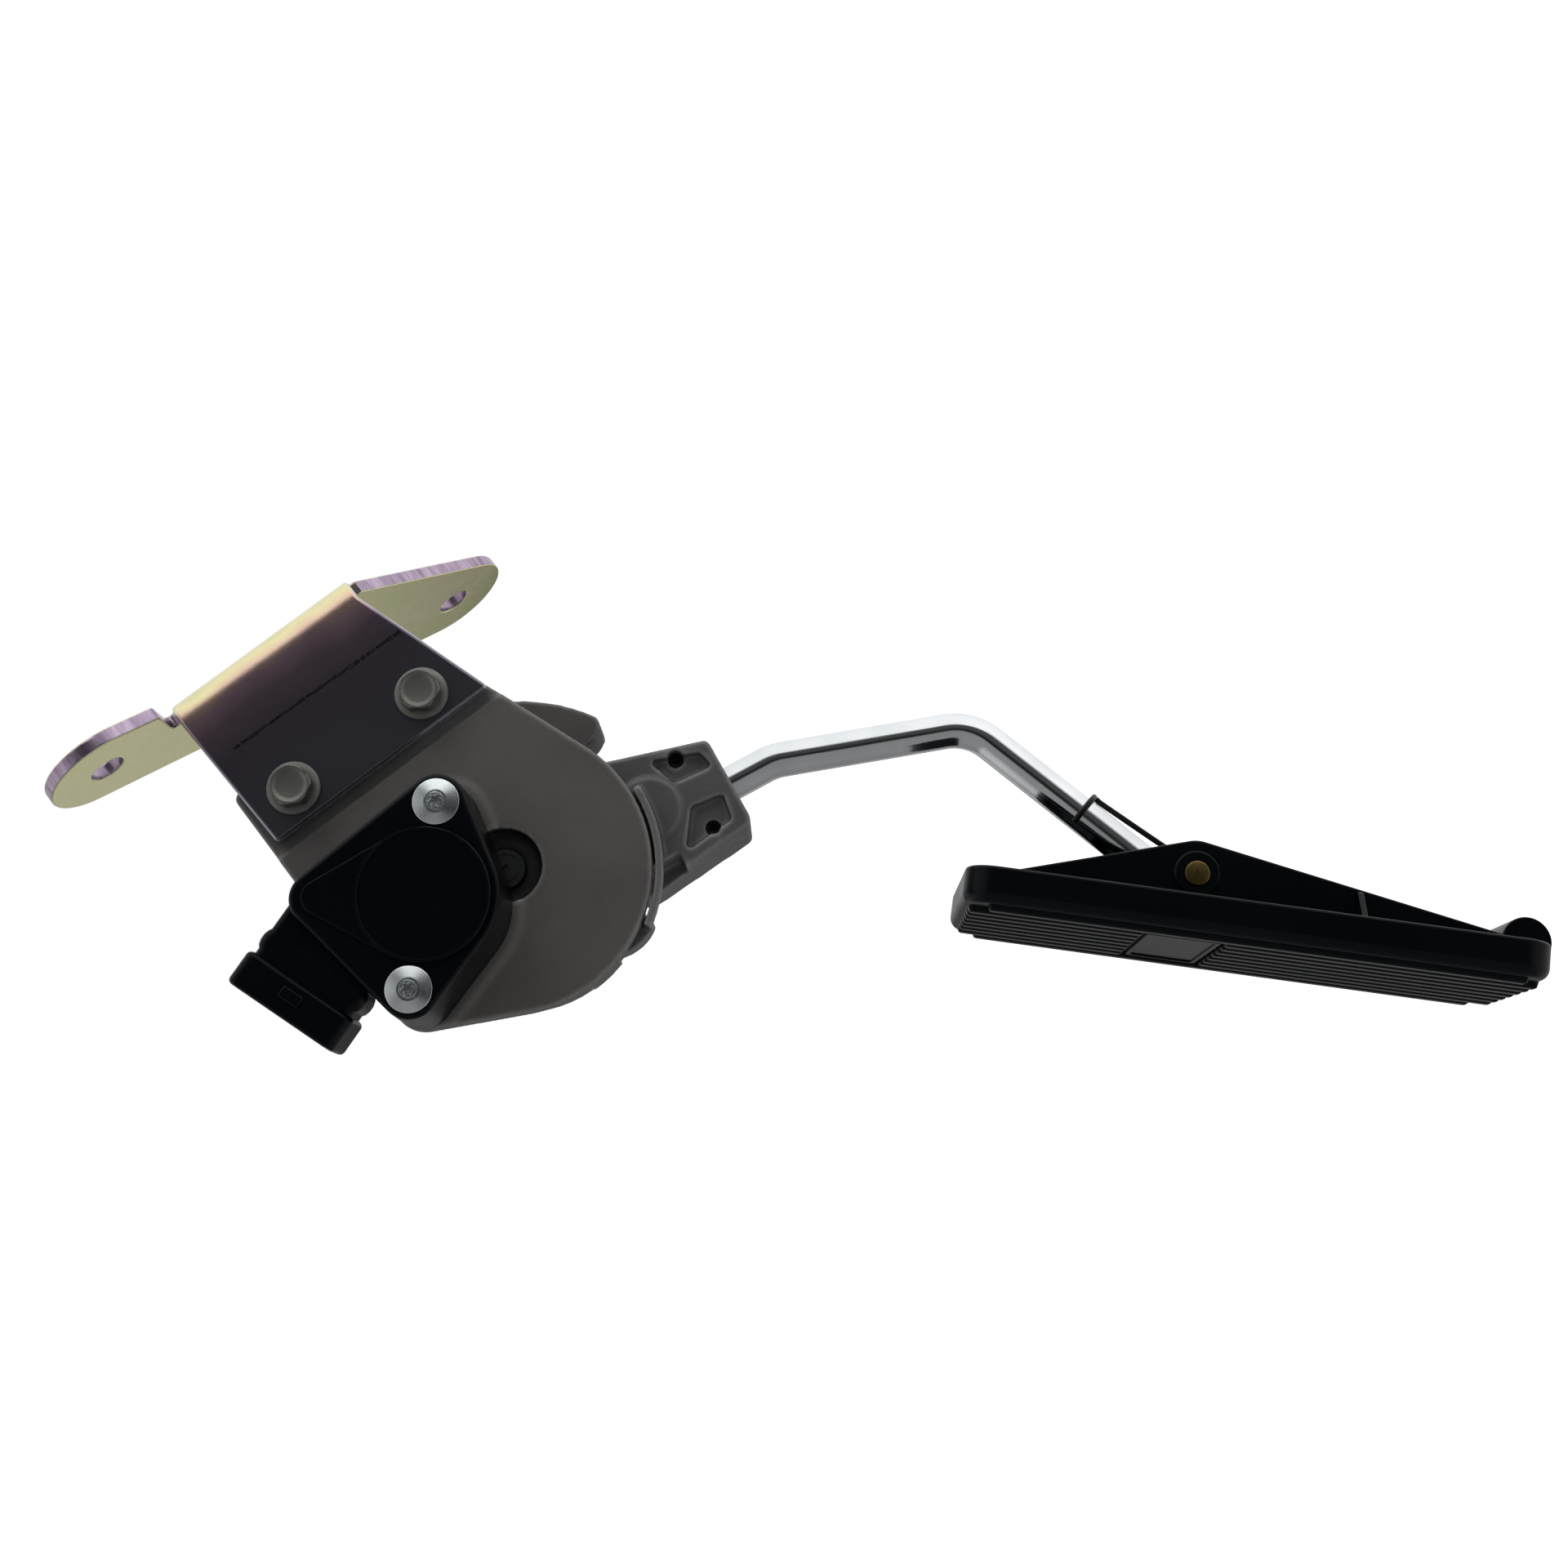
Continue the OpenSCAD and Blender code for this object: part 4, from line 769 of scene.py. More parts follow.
@dataclass
class Bracket:
    """Pressed L of 4 mm sheet: a flange with two ears, and a leg that carries the housing.

    bend_x is where the flange meets the bend, half the leg's half width, upper and lower the ears' middles, and
    leg_end the Y of the centres of the leg's two corners.
    """

    sheet: float = 4.0
    inner_r: float = 4.0
    bend_x: float = 24.0
    half: float = 28.0
    ear_r: float = 16.2
    hole_r: float = 4.5
    upper: tuple[float, float] = (27.5, 50.0)
    lower: tuple[float, float] = (-27.5, -50.0)
    leg_end: float = -46.8
    bolts: tuple[tuple[float, float], ...] = ((-39.4, -25.6), (-39.4, 14.8))
    bend_steps: int = 10

    @property
    def face(self) -> float:
        """X of the leg's outer face."""
        return self.bend_x + self.inner_r + self.sheet

    @property
    def bend_length(self) -> float:
        """Length that the bend takes in the flat sheet, along its middle."""
        return math.pi / 2 * (self.inner_r + self.sheet / 2)

    def flat_y(self, y: float) -> float:
        """Place along the flat sheet of a point of the leg given by its Y."""
        return self.bend_x + self.bend_length - self.inner_r - self.sheet - y

    def outline(self) -> np.ndarray:
        """Outline of the flat sheet: leg, relief beside the bend, upper ear, lower ear.

        The lower ear's arc ends where a straight side leaves it for a corner of radius 0.5 at the bend.

        Returns:
            Points as rows, anticlockwise.
        """
        leg = self.bend_x + self.bend_length
        far = self.flat_y(self.leg_end)
        strip = math.degrees(math.atan2(self.upper[1] - self.lower[1], self.upper[0] - self.lower[0]))
        across, up = self.bend_x + 1 - self.lower[0], -self.half - self.lower[1]
        to_bend = math.degrees(math.atan2(up, across) - math.acos((self.ear_r - 0.5) / math.hypot(across, up)))
        return np.vstack([
            arc((far, -38.8), 1.2, -107.3, 0, 6), arc((far, 25.2), 1.2, 0, 87.5, 6), [[leg, self.half]],
            arc((self.bend_x + 0.5, self.half + 1.5), 1.5, 270, 90, 10), arc((34.6, 32.0), 1.0, 270, 331, 5),
            arc(self.upper, self.ear_r, strip - 90, strip + 90, 44),
            arc(self.lower, self.ear_r, strip + 90, 360 + to_bend, 40),
            [[self.bend_x - 1, -29.74], [self.bend_x - 1, -self.half], [leg, -self.half]]])

    def folded(self, points: np.ndarray) -> np.ndarray:
        """Folds the flat sheet: past the bend line a point turns about the bend's centre by its share of 90 degrees.

        With depth w and turn t it lands on X = 24 + (8 - w) sin t, Y = -8 + (8 - w) cos t; past the bend it runs
        on along -Y. The ear above the relief stays flat.

        Args:
            points: rows of place along the sheet, Z and depth.
        Returns:
            Rows of x, y and z.
        """
        u, z, w = points.T
        outer = self.inner_r + self.sheet
        on_strip = z < self.half + 1.5
        bent = np.where(on_strip, u, self.bend_x)
        t = np.clip((bent - self.bend_x) / self.bend_length, 0, 1) * math.pi / 2
        past = np.maximum(bent - self.bend_x - self.bend_length, 0)
        x = np.where(on_strip, np.minimum(u, self.bend_x), u) + (outer - w) * np.sin(t)
        return np.column_stack([x, -outer + (outer - w) * np.cos(t) - past, z])

    def build(self) -> None:
        """Builds the sheet, its scribed line and its bolts."""
        holes = [circle(at, self.hole_r) for at in (self.upper, self.lower)]
        holes += [circle((self.flat_y(y), z), 3.3) for y, z in self.bolts]
        flat = Solid().slab(self.outline(), 0, self.sheet, 1.0, 0.45, holes, np.copy, 5)
        mesh = bpy.data.meshes.new("bracket_sheet")
        mesh.from_pydata(flat.points[0].tolist(), [], flat.faces)
        work = bmesh.new()
        work.from_mesh(mesh)
        for k in range(self.bend_steps + 1):
            at = (self.bend_x + self.bend_length * k / self.bend_steps, 0, 0)
            bmesh.ops.bisect_plane(work, geom=work.verts[:] + work.edges[:] + work.faces[:], plane_co=at,
                                   plane_no=(1, 0, 0), dist=1e-4)
        work.to_mesh(mesh)
        work.free()
        reshape(mesh, self.folded, 1.0)
        mesh.update()
        settle(mesh, BRACKET, "frame", ["mounting_bracket"])
        for number, at in enumerate(self.bolts, 1):
            self.bolt(np.array(at), 14.0 + 9 * number).build(
                f"flange_bolt_{number}", BOLT, "frame", "dull_zinc", [f"bracket_bolt_{number}"])
        self.scribed(21.0, -30.5).build("scribed_line", SCRIBED_GROOVE_SHADE, "frame", "black_steel", [])

    def scribed(self, top: float, end: float) -> Solid:
        """Uneven dark line down the leg, painted shade of a scribed groove: short strokes in two rows, each with its
        own length, width and offset.

        Args:
            top: where it starts in Z.
            end: where it ends.
        Returns:
            The piece in the making.
        """
        chance = np.random.default_rng(7)
        made = Solid()
        first_y, slant = -21.2, -1.1
        z = top
        while z > end:
            reach = chance.uniform(0.9, 2.6)
            for row in (-0.22, 0.26):
                wide = chance.uniform(0.12, 0.26)
                y = first_y + slant * (top - z) / (top - end) + row + chance.normal(0, 0.07)
                stroke = [(y - wide, z - reach), (y + wide, z - reach * 0.9), (y + wide * 0.7, z), (y - wide, z)]
                made.slab(np.array(stroke), self.face - 0.4, self.face + 0.03, 0.0, 0.03)
            z -= reach * chance.uniform(0.92, 1.2)
        return made

    def bolt(self, at: np.ndarray, turn: float) -> Solid:
        """Flange bolt: shank, coned washer flange and a hexagon with a dished top.

        Above the chamfer the radius is the smaller of the hexagon's and the cone's.

        Args:
            at: place in Y and Z.
            turn: turn of the hexagon in degrees.
        Returns:
            The piece in the making.
        """
        made = Solid().lathe([(0.01, -16), (2.6, -16), (3, -15.5), (3, 0.5), (0.01, 0.5)], at, self.face, 32)
        made.lathe([(0.01, 0), (6.7, 0), (6.95, 0.12), (7, 0.4), (7, 0.8), (6.85, 1.05), (6.3, 1.3), (5.4, 1.7),
                    (0.01, 1.9)], at, self.face)
        cone = np.array([(9, 1.2), (9, 4.55), (5.6, 4.95), (5.42, 5.25), (5.2, 5.45), (4.95, 5.58), (4.6, 5.6),
                         (4.3, 5.5), (4.0, 5.2), (3.3, 5.02), (0.2, 4.95)])
        radii = np.minimum(hexagon(10.0, 72, turn, 0.25)[None], cone[:, :1])
        return made.grid(ring_grid(radii, self.face + cone[:, 1], at), along_x)


@dataclass
class Housing:
    """Die-cast housing with its cover, cover screws and return springs.

    cover_x is the cover's inner face; a spring is its name, radius, wire and turns, and spring_rest the angle in
    degrees of the leg that it rests with.
    """

    cover_x: float = -10.0
    cover_t: float = 4.0
    top_y: float = -30.0
    voxel: float = 0.7
    spring_rest: float = 210.0
    screws: tuple[tuple[float, float], ...] = ((-38, 17.5), (-38, -24), (-72, 19.5), (-99.5, 13.4))
    springs: tuple[tuple[str, float, float, int], ...] = (("outer", 20.5, 2.4, 3), ("inner", 14.6, 2.0, 4))

    def build(self) -> None:
        """Builds the cast housing, the cover, its screws and the springs."""
        recast("housing_casting", "pedal_housing", self.voxel, 4, CASTING, "frame")
        self.cover().build("cover_casting", CASTING, "frame", "cast_alloy", ["housing_cover"])
        for number, at in enumerate(self.screws, 1):
            self.screw(np.array(at)).build(f"cover_socket_screw_{number}", ZINC_SCREW, "frame", "bright_zinc",
                                           [f"cover_screw_{number}"])
        for name, r, wire, turns in self.springs:
            Solid().tube(self.coil(r, wire, turns), wire / 2, 16, 0.3).build(
                f"torsion_spring_{name}", SPRING_WIRE, "frame", "spring_steel", [f"return_spring_{name}"])

    def cover(self) -> Solid:
        """Cover plate with a hub for the shaft and six ribs that run out from it.

        Returns:
            The piece in the making.
        """
        low = self.cover_x - self.cover_t
        outline = rounded([(self.top_y - 5, 23, 3), (-60, 19, 6), (-97, 15, 6), (*PIVOT, 33),
                           (self.top_y - 6, -28.5, 4)], -0.4)
        made = Solid().slab(outline, low, self.cover_x, 0.9, 0.2, [circle(at, 2.2, 24) for at in self.screws])
        made.lathe([(0.01, 1.5), (5.05, 1.5), (5.05, 0.3), (5.4, 0), (9, 0), (9.6, 0.25), (9.9, 0.9), (9.9, 2.5),
                    (0.01, 2.5)], PIVOT, low - 2)
        for turn in range(0, 360, 60):
            d, n = heading(math.radians(turn)), heading(math.radians(turn + 90))
            rib = np.array([PIVOT + a * d + b * n for a, b in ((8, -1), (26.8, -0.8), (26.8, 0.8), (8, 1))])
            made.slab(softened_corners(rib, 0.7), low - 1.2, low + 1, 0.4, 0.0)
        return made

    def screw(self, at: np.ndarray) -> Solid:
        """Button-head socket screw seen from the far side: the radius grows over the dome, then a hex socket.

        Args:
            at: place in Y and Z.
        Returns:
            The piece in the making.
        """
        rows = [(2.0, 12.9), (2.0, 0), (3.5, 0), (3.7, -0.2), (3.65, -0.9), (3.3, -1.5), (2.7, -1.95), (2.0, -2.15)]
        grid = socket_head(rows, hexagon(3.0, 36, 0, 0.05), [(1, -2.15), (1, -1.0), (0.1, -0.9)], at,
                           self.cover_x - self.cover_t)
        return Solid().grid(grid[:, ::-1], along_x)

    def coil(self, r: float, wire: float, turns: int) -> np.ndarray:
        """Coil with radial legs: the angle and X run evenly, and at each end the wire eases out into a leg.

        Args:
            r: radius of the coil's middle.
            wire: the wire's diameter.
            turns: its turns, to which 20 degrees are added.
        Returns:
            Rows of x, y and z along the wire's middle.
        """
        span = 360 * turns + 20
        x0 = self.cover_x + wire / 2 + 0.3
        a = np.radians(np.linspace(self.spring_rest - span, self.spring_rest, span // 7))
        x = np.linspace(x0, x0 + turns * (wire + 0.25), len(a))
        body = np.column_stack([x, PIVOT[0] + r * np.cos(a), PIVOT[1] + r * np.sin(a)])
        ease = np.linspace(0, 1, 6)[1:, None]
        legs = []
        for end, beside in ((0, 1), (-1, -2)):
            away = (body[end] - body[beside]) / np.linalg.norm(body[end] - body[beside])
            legs.append(body[end] + 2.2 * ease * away * (2 - ease) / 2 + 4 * ease ** 2 * [0, *heading(a[end])])
        return np.vstack([legs[0][::-1], body, legs[1]])


def recast(name: str, source: str, voxel: float, rounds: int, finish: Finish, body: str,
           shape: Move = np.copy) -> None:
    """Copies a CAD node as a casting: its edges and inner corners rounded by remeshing and smoothing.

    Args:
        name: the piece's name.
        source: the CAD node it stands for.
        voxel: size of the new mesh's cells in millimetres.
        rounds: smoothing rounds.
        finish: its material.
        body: the CAD body it rides on.
        shape: gives the new mesh's places in millimetres for its first ones.
    """
    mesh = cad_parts[source].data.copy()
    work = bmesh.new()
    work.from_mesh(mesh)
    bmesh.ops.remove_doubles(work, verts=work.verts, dist=1e-6)
    work.to_mesh(mesh)
    work.free()
    obj = linked(name + "_source", mesh)
    remesh = obj.modifiers.new("cells", "REMESH")
    remesh.mode = "VOXEL"
    remesh.voxel_size = voxel * MM
    smooth = obj.modifiers.new("ease", "SMOOTH")
    smooth.factor, smooth.iterations = 0.5, rounds
    made = bpy.data.meshes.new_from_object(obj.evaluated_get(bpy.context.evaluated_depsgraph_get()))
    bpy.data.objects.remove(obj)
    reshape(made, shape)
    made.materials.clear()
    made.name = name
    settle(made, finish, body, [source], 60.0, False)


@dataclass
class Arm:
    """What swings about the pivot: cast lever, clamp screws, bent rod and the pad's spring.

    bend_r is the radius of the rod's middle in its bends, clamp_x the screws' top and guard_inner the inner radius
    of the lever's guard.
    """

    rod_r: float = 4.75
    rod_count: int = 48
    bend_r: float = 15.0
    wire_r: float = 0.8
    voxel: float = 0.6
    guard_inner: float = 33.6
    clamp_x: float = 18.5

    def build(self) -> None:
        """Builds the lever, its screws, the rod and the pad's spring."""
        recast("lever_casting", "lever", self.voxel, 2, LEVER_CAST, "arm", self.taper)
        for number, side in enumerate((-1, 1), 1):
            self.clamp_screw(on_arm(52.1, ROD_V + side * 10.4)).build(
                f"clamp_socket_screw_{number}", BLACK_OXIDE, "arm", "black_steel", [f"clamp_screw_{number}"])
        rod = Solid().tube(self.rod_path(), self.rod_r, self.rod_count, 0.3)
        run = run_along(rod.points[0].reshape(-1, self.rod_count, 3).mean(axis=1))
        bar = ring_grid(np.full((len(run), self.rod_count), self.rod_r), run, np.zeros(2))[:, :, [2, 0, 1]]
        mesh = rod.build("bent_rod", ROD, "arm", "zinc_rod", ["pedal_rod"]).data
        # The rod as a straight bar, for the lines of its drawing.
        mesh.attributes.new("bar", "FLOAT_VECTOR", "POINT").data.foreach_set("vector", (bar * MM).ravel())
        Solid().tube(self.spring_path(), self.wire_r, 14, 0.25).build(
            "pad_spring_wire", BLACK_OXIDE, "arm", "black_steel", ["pad_spring"])

    def taper(self, places: np.ndarray) -> np.ndarray:
        """Thins the guard's free end: past 58 degrees its radius nears the inner one by 0.62 t^2, t running to 1.

        Args:
            places: the casting's places in millimetres.
        Returns:
            Where they go.
        """
        flat = places[:, 1:] - PIVOT
        radius = np.hypot(flat[:, 0], flat[:, 1])
        turn = 270 - np.degrees(np.arctan2(flat[:, 1], flat[:, 0])) % 360
        share = np.clip((turn - 58) / 17.2, 0, 1) ** 2 * (turn < 80) * 0.62
        over = np.maximum(radius - self.guard_inner, 0)
        places[:, 1:] -= flat * (share * over / np.maximum(radius, 1))[:, None]
        return places

    def rod_path(self) -> np.ndarray:
        """Centre line of the rod: each corner is replaced by an arc that touches both straight runs.

        The arc's tangent length is r tan(half the bend).

        Returns:
            Rows of x, y and z.
        """
        points = [ROD_START]
        for corner, before, after in zip((BEND_1, BEND_2), ROD_TURNS, ROD_TURNS[1:]):
            cut = self.bend_r * math.tan((before - after) / 2)
            centre = corner - cut * heading(before) + self.bend_r * heading(before - math.pi / 2)
            points += [centre + self.bend_r * heading(a + math.pi / 2) for a in np.linspace(before, after, 22)]
        points.append(BEND_2 + 69.2 * heading(ROD_TURNS[2]))
        return np.column_stack([np.full(len(points), MID_X), points])

    def clamp_screw(self, at: np.ndarray) -> Solid:
        """Socket screw down in the clamp's hole: chamfered rim, then a hex socket.

        Args:
            at: place in Y and Z.
        Returns:
            The piece in the making.
        """
        rows = [(1.95, -21.5), (1.95, -0.35), (1.7, 0), (1.45, 0)]
        grid = socket_head(rows, hexagon(2.4, 36, 10, 0.05), [(1, -0.05), (1, -1.8), (0.1, -2.0)], at, self.clamp_x)
        return Solid().grid(grid, along_x)

    def spring_path(self) -> np.ndarray:
        """Centre line of the pad's spring: hook over the rod, leg, coil on the sleeve and a leg on the pad.

        In the coil the angle and X run evenly; the other places are joined by a smooth curve through them.

        Returns:
            Rows of x, y and z.
        """
        back = ROD_TURNS[2] + math.pi
        start = back - math.pi / 2
        coil_r, hook_r = (r + self.wire_r + 0.3 for r in (5.5, self.rod_r))
        turns, pitch, far_x = 2.5, 1.7, -10.7
        near_x = far_x + turns * pitch

        def spot(x: float, along: float, out: float) -> list[float]:
            """Place given across, back along the rod and out from the pin."""
            return [MID_X + x, *(PIN + along * heading(back) + out * heading(start))]

        hook = [spot(hook_r * math.sin(a), 33, -3.1 + hook_r * math.cos(a))
                for a in np.radians(np.linspace(128, -4, 18))]
        lead = [spot(-0.7, 31.6, -3.1 + hook_r + 0.15), spot(-1.3, 29.4, -3.1 + hook_r + 0.3),
                spot(near_x + 0.1, 11, coil_r - 1.0)]
        turn = np.linspace(start, start + 2 * math.pi * turns, 90)
        body = [[MID_X + x, *(PIN + coil_r * heading(t))] for x, t in zip(np.linspace(near_x, far_x, 90), turn)]
        step = np.array([0, *(3.55 * heading(turn[-1] + math.pi / 2))])
        leg = [np.array(body[-1]) + i * step for i in range(1, 5)]
        return smooth_path(np.vstack([hook, lead, body, leg]), 260)


def run_along(path: np.ndarray) -> np.ndarray:
    """Length along a path up to each of its points."""
    return np.concatenate([[0], np.cumsum(np.linalg.norm(np.diff(path, axis=0), axis=1))])


def smooth_path(points: np.ndarray, count: int) -> np.ndarray:
    """Even points on the Catmull-Rom curve through the given ones.

    Between two points it is 0.5 (2 p1 + (p2 - p0) t + (2 p0 - 5 p1 + 4 p2 - p3) t^2 + (3 p1 - p0 - 3 p2 + p3) t^3).

    Args:
        points: rows of x, y and z.
        count: how many even points.
    Returns:
        Rows of x, y and z.
    """
    p = np.vstack([2 * points[0] - points[1], points, 2 * points[-1] - points[-2]])
    t = np.linspace(0, 1, 8, endpoint=False)[:, None]
    parts = [0.5 * (2 * b + (c - a) * t + (2 * a - 5 * b + 4 * c - d) * t ** 2 + (3 * b - a - 3 * c + d) * t ** 3)
             for a, b, c, d in zip(p[:-3], p[1:-2], p[2:-1], p[3:])]
    fine = np.vstack([*parts, points[-1:]])
    length = run_along(fine)
    even = np.linspace(0, length[-1], count)
    return np.column_stack([np.interp(even, length, column) for column in fine.T])


def at_pin(points: np.ndarray) -> np.ndarray:
    """Turns (across, along the pad, away from the foot) rows about the pin into (x, y, z) rows."""
    flat = PIN + points[:, 1:2] * heading(PAD_TURN) + points[:, 2:3] * heading(PAD_TURN + math.pi / 2)
    return np.column_stack([MID_X + points[:, 0], flat])


def pad_side(points: np.ndarray) -> np.ndarray:
    """Turns (along the pad, away from the foot, across) rows about the pin into (x, y, z) rows."""
    return at_pin(points[:, [2, 0, 1]])


@dataclass
class Pad:
    """Moulded pad with ridges, a plain panel, ears for its pin, ribs and a round heel bar.

    Places along it count from the pin towards the heel; bottom is the foot's side. panel is the panel's extent
    across and along the pad and its middle.
    """

    length: float = 148.0
    width: float = 60.0
    heel: float = 88.504
    bottom: float = -17.1
    top: float = -7.6
    face_t: float = 3.0
    wall: float = 2.6
    corner_r: float = 8.0
    foot_r: float = 3.2
    rim_r: float = 0.9
    ear_x: float = 12.0
    ear_t: float = 3.0
    ridges: int = 9
    ridge_h: float = 1.4
    panel: tuple[float, float, float] = (39.5, 18.8, -2.2)

    @property
    def toe(self) -> float:
        """Place of the toe end along the pad."""
        return self.heel - self.length

    def build(self) -> None:
        """Builds the moulding and its pin."""
        made = Solid()
        for part in (self.tray, self.ears, self.face, self.ribs):
            part(made)
        made.build("pad_moulding", PAD_PLASTIC, "foot_pad", "pad_plastic", ["pad"])
        pin = [(0.01, -9.9), (2.9, -9.9), (3.3, -9.6), (3.43, -9.2), (3.43, 23.6), (3.2, 24.0), (2.8, 24.2),
               (0.45, 24.25), (0.25, 24.0), (0.01, 24.0)]
        Solid().lathe(pin, PIN, 0.0, 40).build("brass_pin", BRASS, "foot_pad", "brass", ["pad_pin"])

    def tray(self, made: Solid) -> None:
        """Adds the face with its skirt: the outline moved in by each row's inset, up outside and down inside.

        Args:
            made: the piece in the making.
        """
        outline = rectangle(0, self.width / 2, self.toe, self.heel, self.corner_r)
        floor, wall = self.bottom + self.face_t, self.wall
        rows = rim(self.foot_r, self.bottom, 1, 8) + rim(self.rim_r, self.top, -1, 4) + [
            (wall - 0.4, self.top), (wall, self.top - 0.4), (wall + 0.15, floor + 0.8), (wall + 0.4, floor + 0.2),
            (wall + 1.0, floor)]
        normal = outward(outline)
        made.grid(np.stack([np.column_stack([outline - inset * normal, np.full(len(outline), height)])
                            for inset, height in rows]), at_pin)

    def ears(self, made: Solid) -> None:
        """Adds the two ears with their pin bosses.

        Args:
            made: the piece in the making.
        """
        heel, toe, low = self.heel, self.toe, self.bottom + 1
        outline = rounded([(0, 0, 8.8), (toe + 4.5, -8.6, 0.6), (toe + 6, low, 0.6), (heel - 8, low, 0.6),
                           (heel - 6, -5.9, 0.6)])
        for side in (-1, 1):
            x0, x1 = sorted((side * self.ear_x, side * (self.ear_x + self.ear_t)))
            made.slab(outline, x0, x1, 0.6, 0.6, [circle((0, 0), 3.5, 32)], pad_side)
            boss = [(3.5, x0 - 0.4), (5.7, x0 - 0.4), (6.2, x0), (6.2, x1), (5.9, x1 + 0.55), (5.5, x1 + 0.8),
                    (3.5, x1 + 0.8)]
            made.lathe(boss, np.zeros(2), 0.0, 40, pad_side, True)

    def face(self, made: Solid) -> None:
        """Adds the ridges, which leave the panel free, and the framed panel on the foot's side.

        Args:
            made: the piece in the making.
        """
        across, along, mid = self.panel
        start, end = mid - along / 2, mid + along / 2
        for i in range(self.ridges):
            x = (i - (self.ridges - 1) / 2) * (self.width - 8) / (self.ridges - 0.4)
            outermost = i in (0, self.ridges - 1)
            runs = [(self.toe + (7 if outermost else 2.4), self.heel - (6 if outermost else 1.6))]
            if abs(x) < across / 2 + 1:
                runs = [(runs[0][0], start - 1.2), (end + 1.2, runs[0][1])]
            for low, high in runs:
                made.slab(rectangle(x, 1.75, low, high, 0.9), self.bottom - self.ridge_h, self.bottom + 1, 0.7, 0.0,
                          (), at_pin, 4, -0.55)
        outer = rectangle(0, across / 2, start, end, 1.6)
        inner = rectangle(0, across / 2 - 1.2, start + 1.2, end - 1.2, 1.0)
        made.slab(outer, self.bottom - 0.5, self.bottom + 1, 0.35, 0.0, (), at_pin)
        made.slab(outer, self.bottom - 1.0, self.bottom, 0.3, 0.0, [inner], at_pin)

    def ribs(self, made: Solid) -> None:
        """Adds the inner ribs, the stop rib, the gussets and the heel bar.

        Args:
            made: the piece in the making.
        """
        floor = self.bottom + self.face_t - 0.5
        edge = self.width / 2 - 1.2
        for half, start, end, top in ((edge, -38.0, -36.2, self.top - 0.6), (edge, 41.0, 42.8, self.top - 0.6),
                                      (edge, 66.0, 67.8, self.top - 0.6), (8.5, 5.2, 8.2, -10.0)):
            made.slab(rectangle(0, half, start, end, 0.3), floor, top, 0.0, 0.4, (), at_pin)
        gusset = np.array([(0, self.top - 3), (9.5, self.top - 3), (9.5, self.top - 0.2), (1.6, 0.8), (0, 0.8)])
        end = self.ear_x + self.ear_t
        for side in (-1, 1):
            outline = (gusset + (end - 0.4, 0)) * (side, 1)
            made.slab(softened_corners(outline[::side], 0.8), -42.6, -41.0, 0.35, 0.35,
                      place=lambda p: at_pin(np.column_stack([p[:, 0], -p[:, 2], p[:, 1]])))
        bar = [(0.01, -end), (5.9, -end), (6.25, -end + 0.12), (6.4, -end + 0.5), (6.4, end - 0.5),
               (6.25, end - 0.12), (5.9, end), (0.01, end)]
        made.lathe(bar, np.array([self.heel - 3.4, self.top + 1.7]), 0.0, 48, pad_side)


def at_plug(points: np.ndarray) -> np.ndarray:
    """Turns (across the connector, X from its middle, outward) rows into (x, y, z) rows."""
    flat = SENSOR + points[:, 2:3] * heading(PLUG_TURN) + points[:, 0:1] * heading(PLUG_TURN + math.pi / 2)
    return np.column_stack([points[:, 1] + PLUG_X, flat])


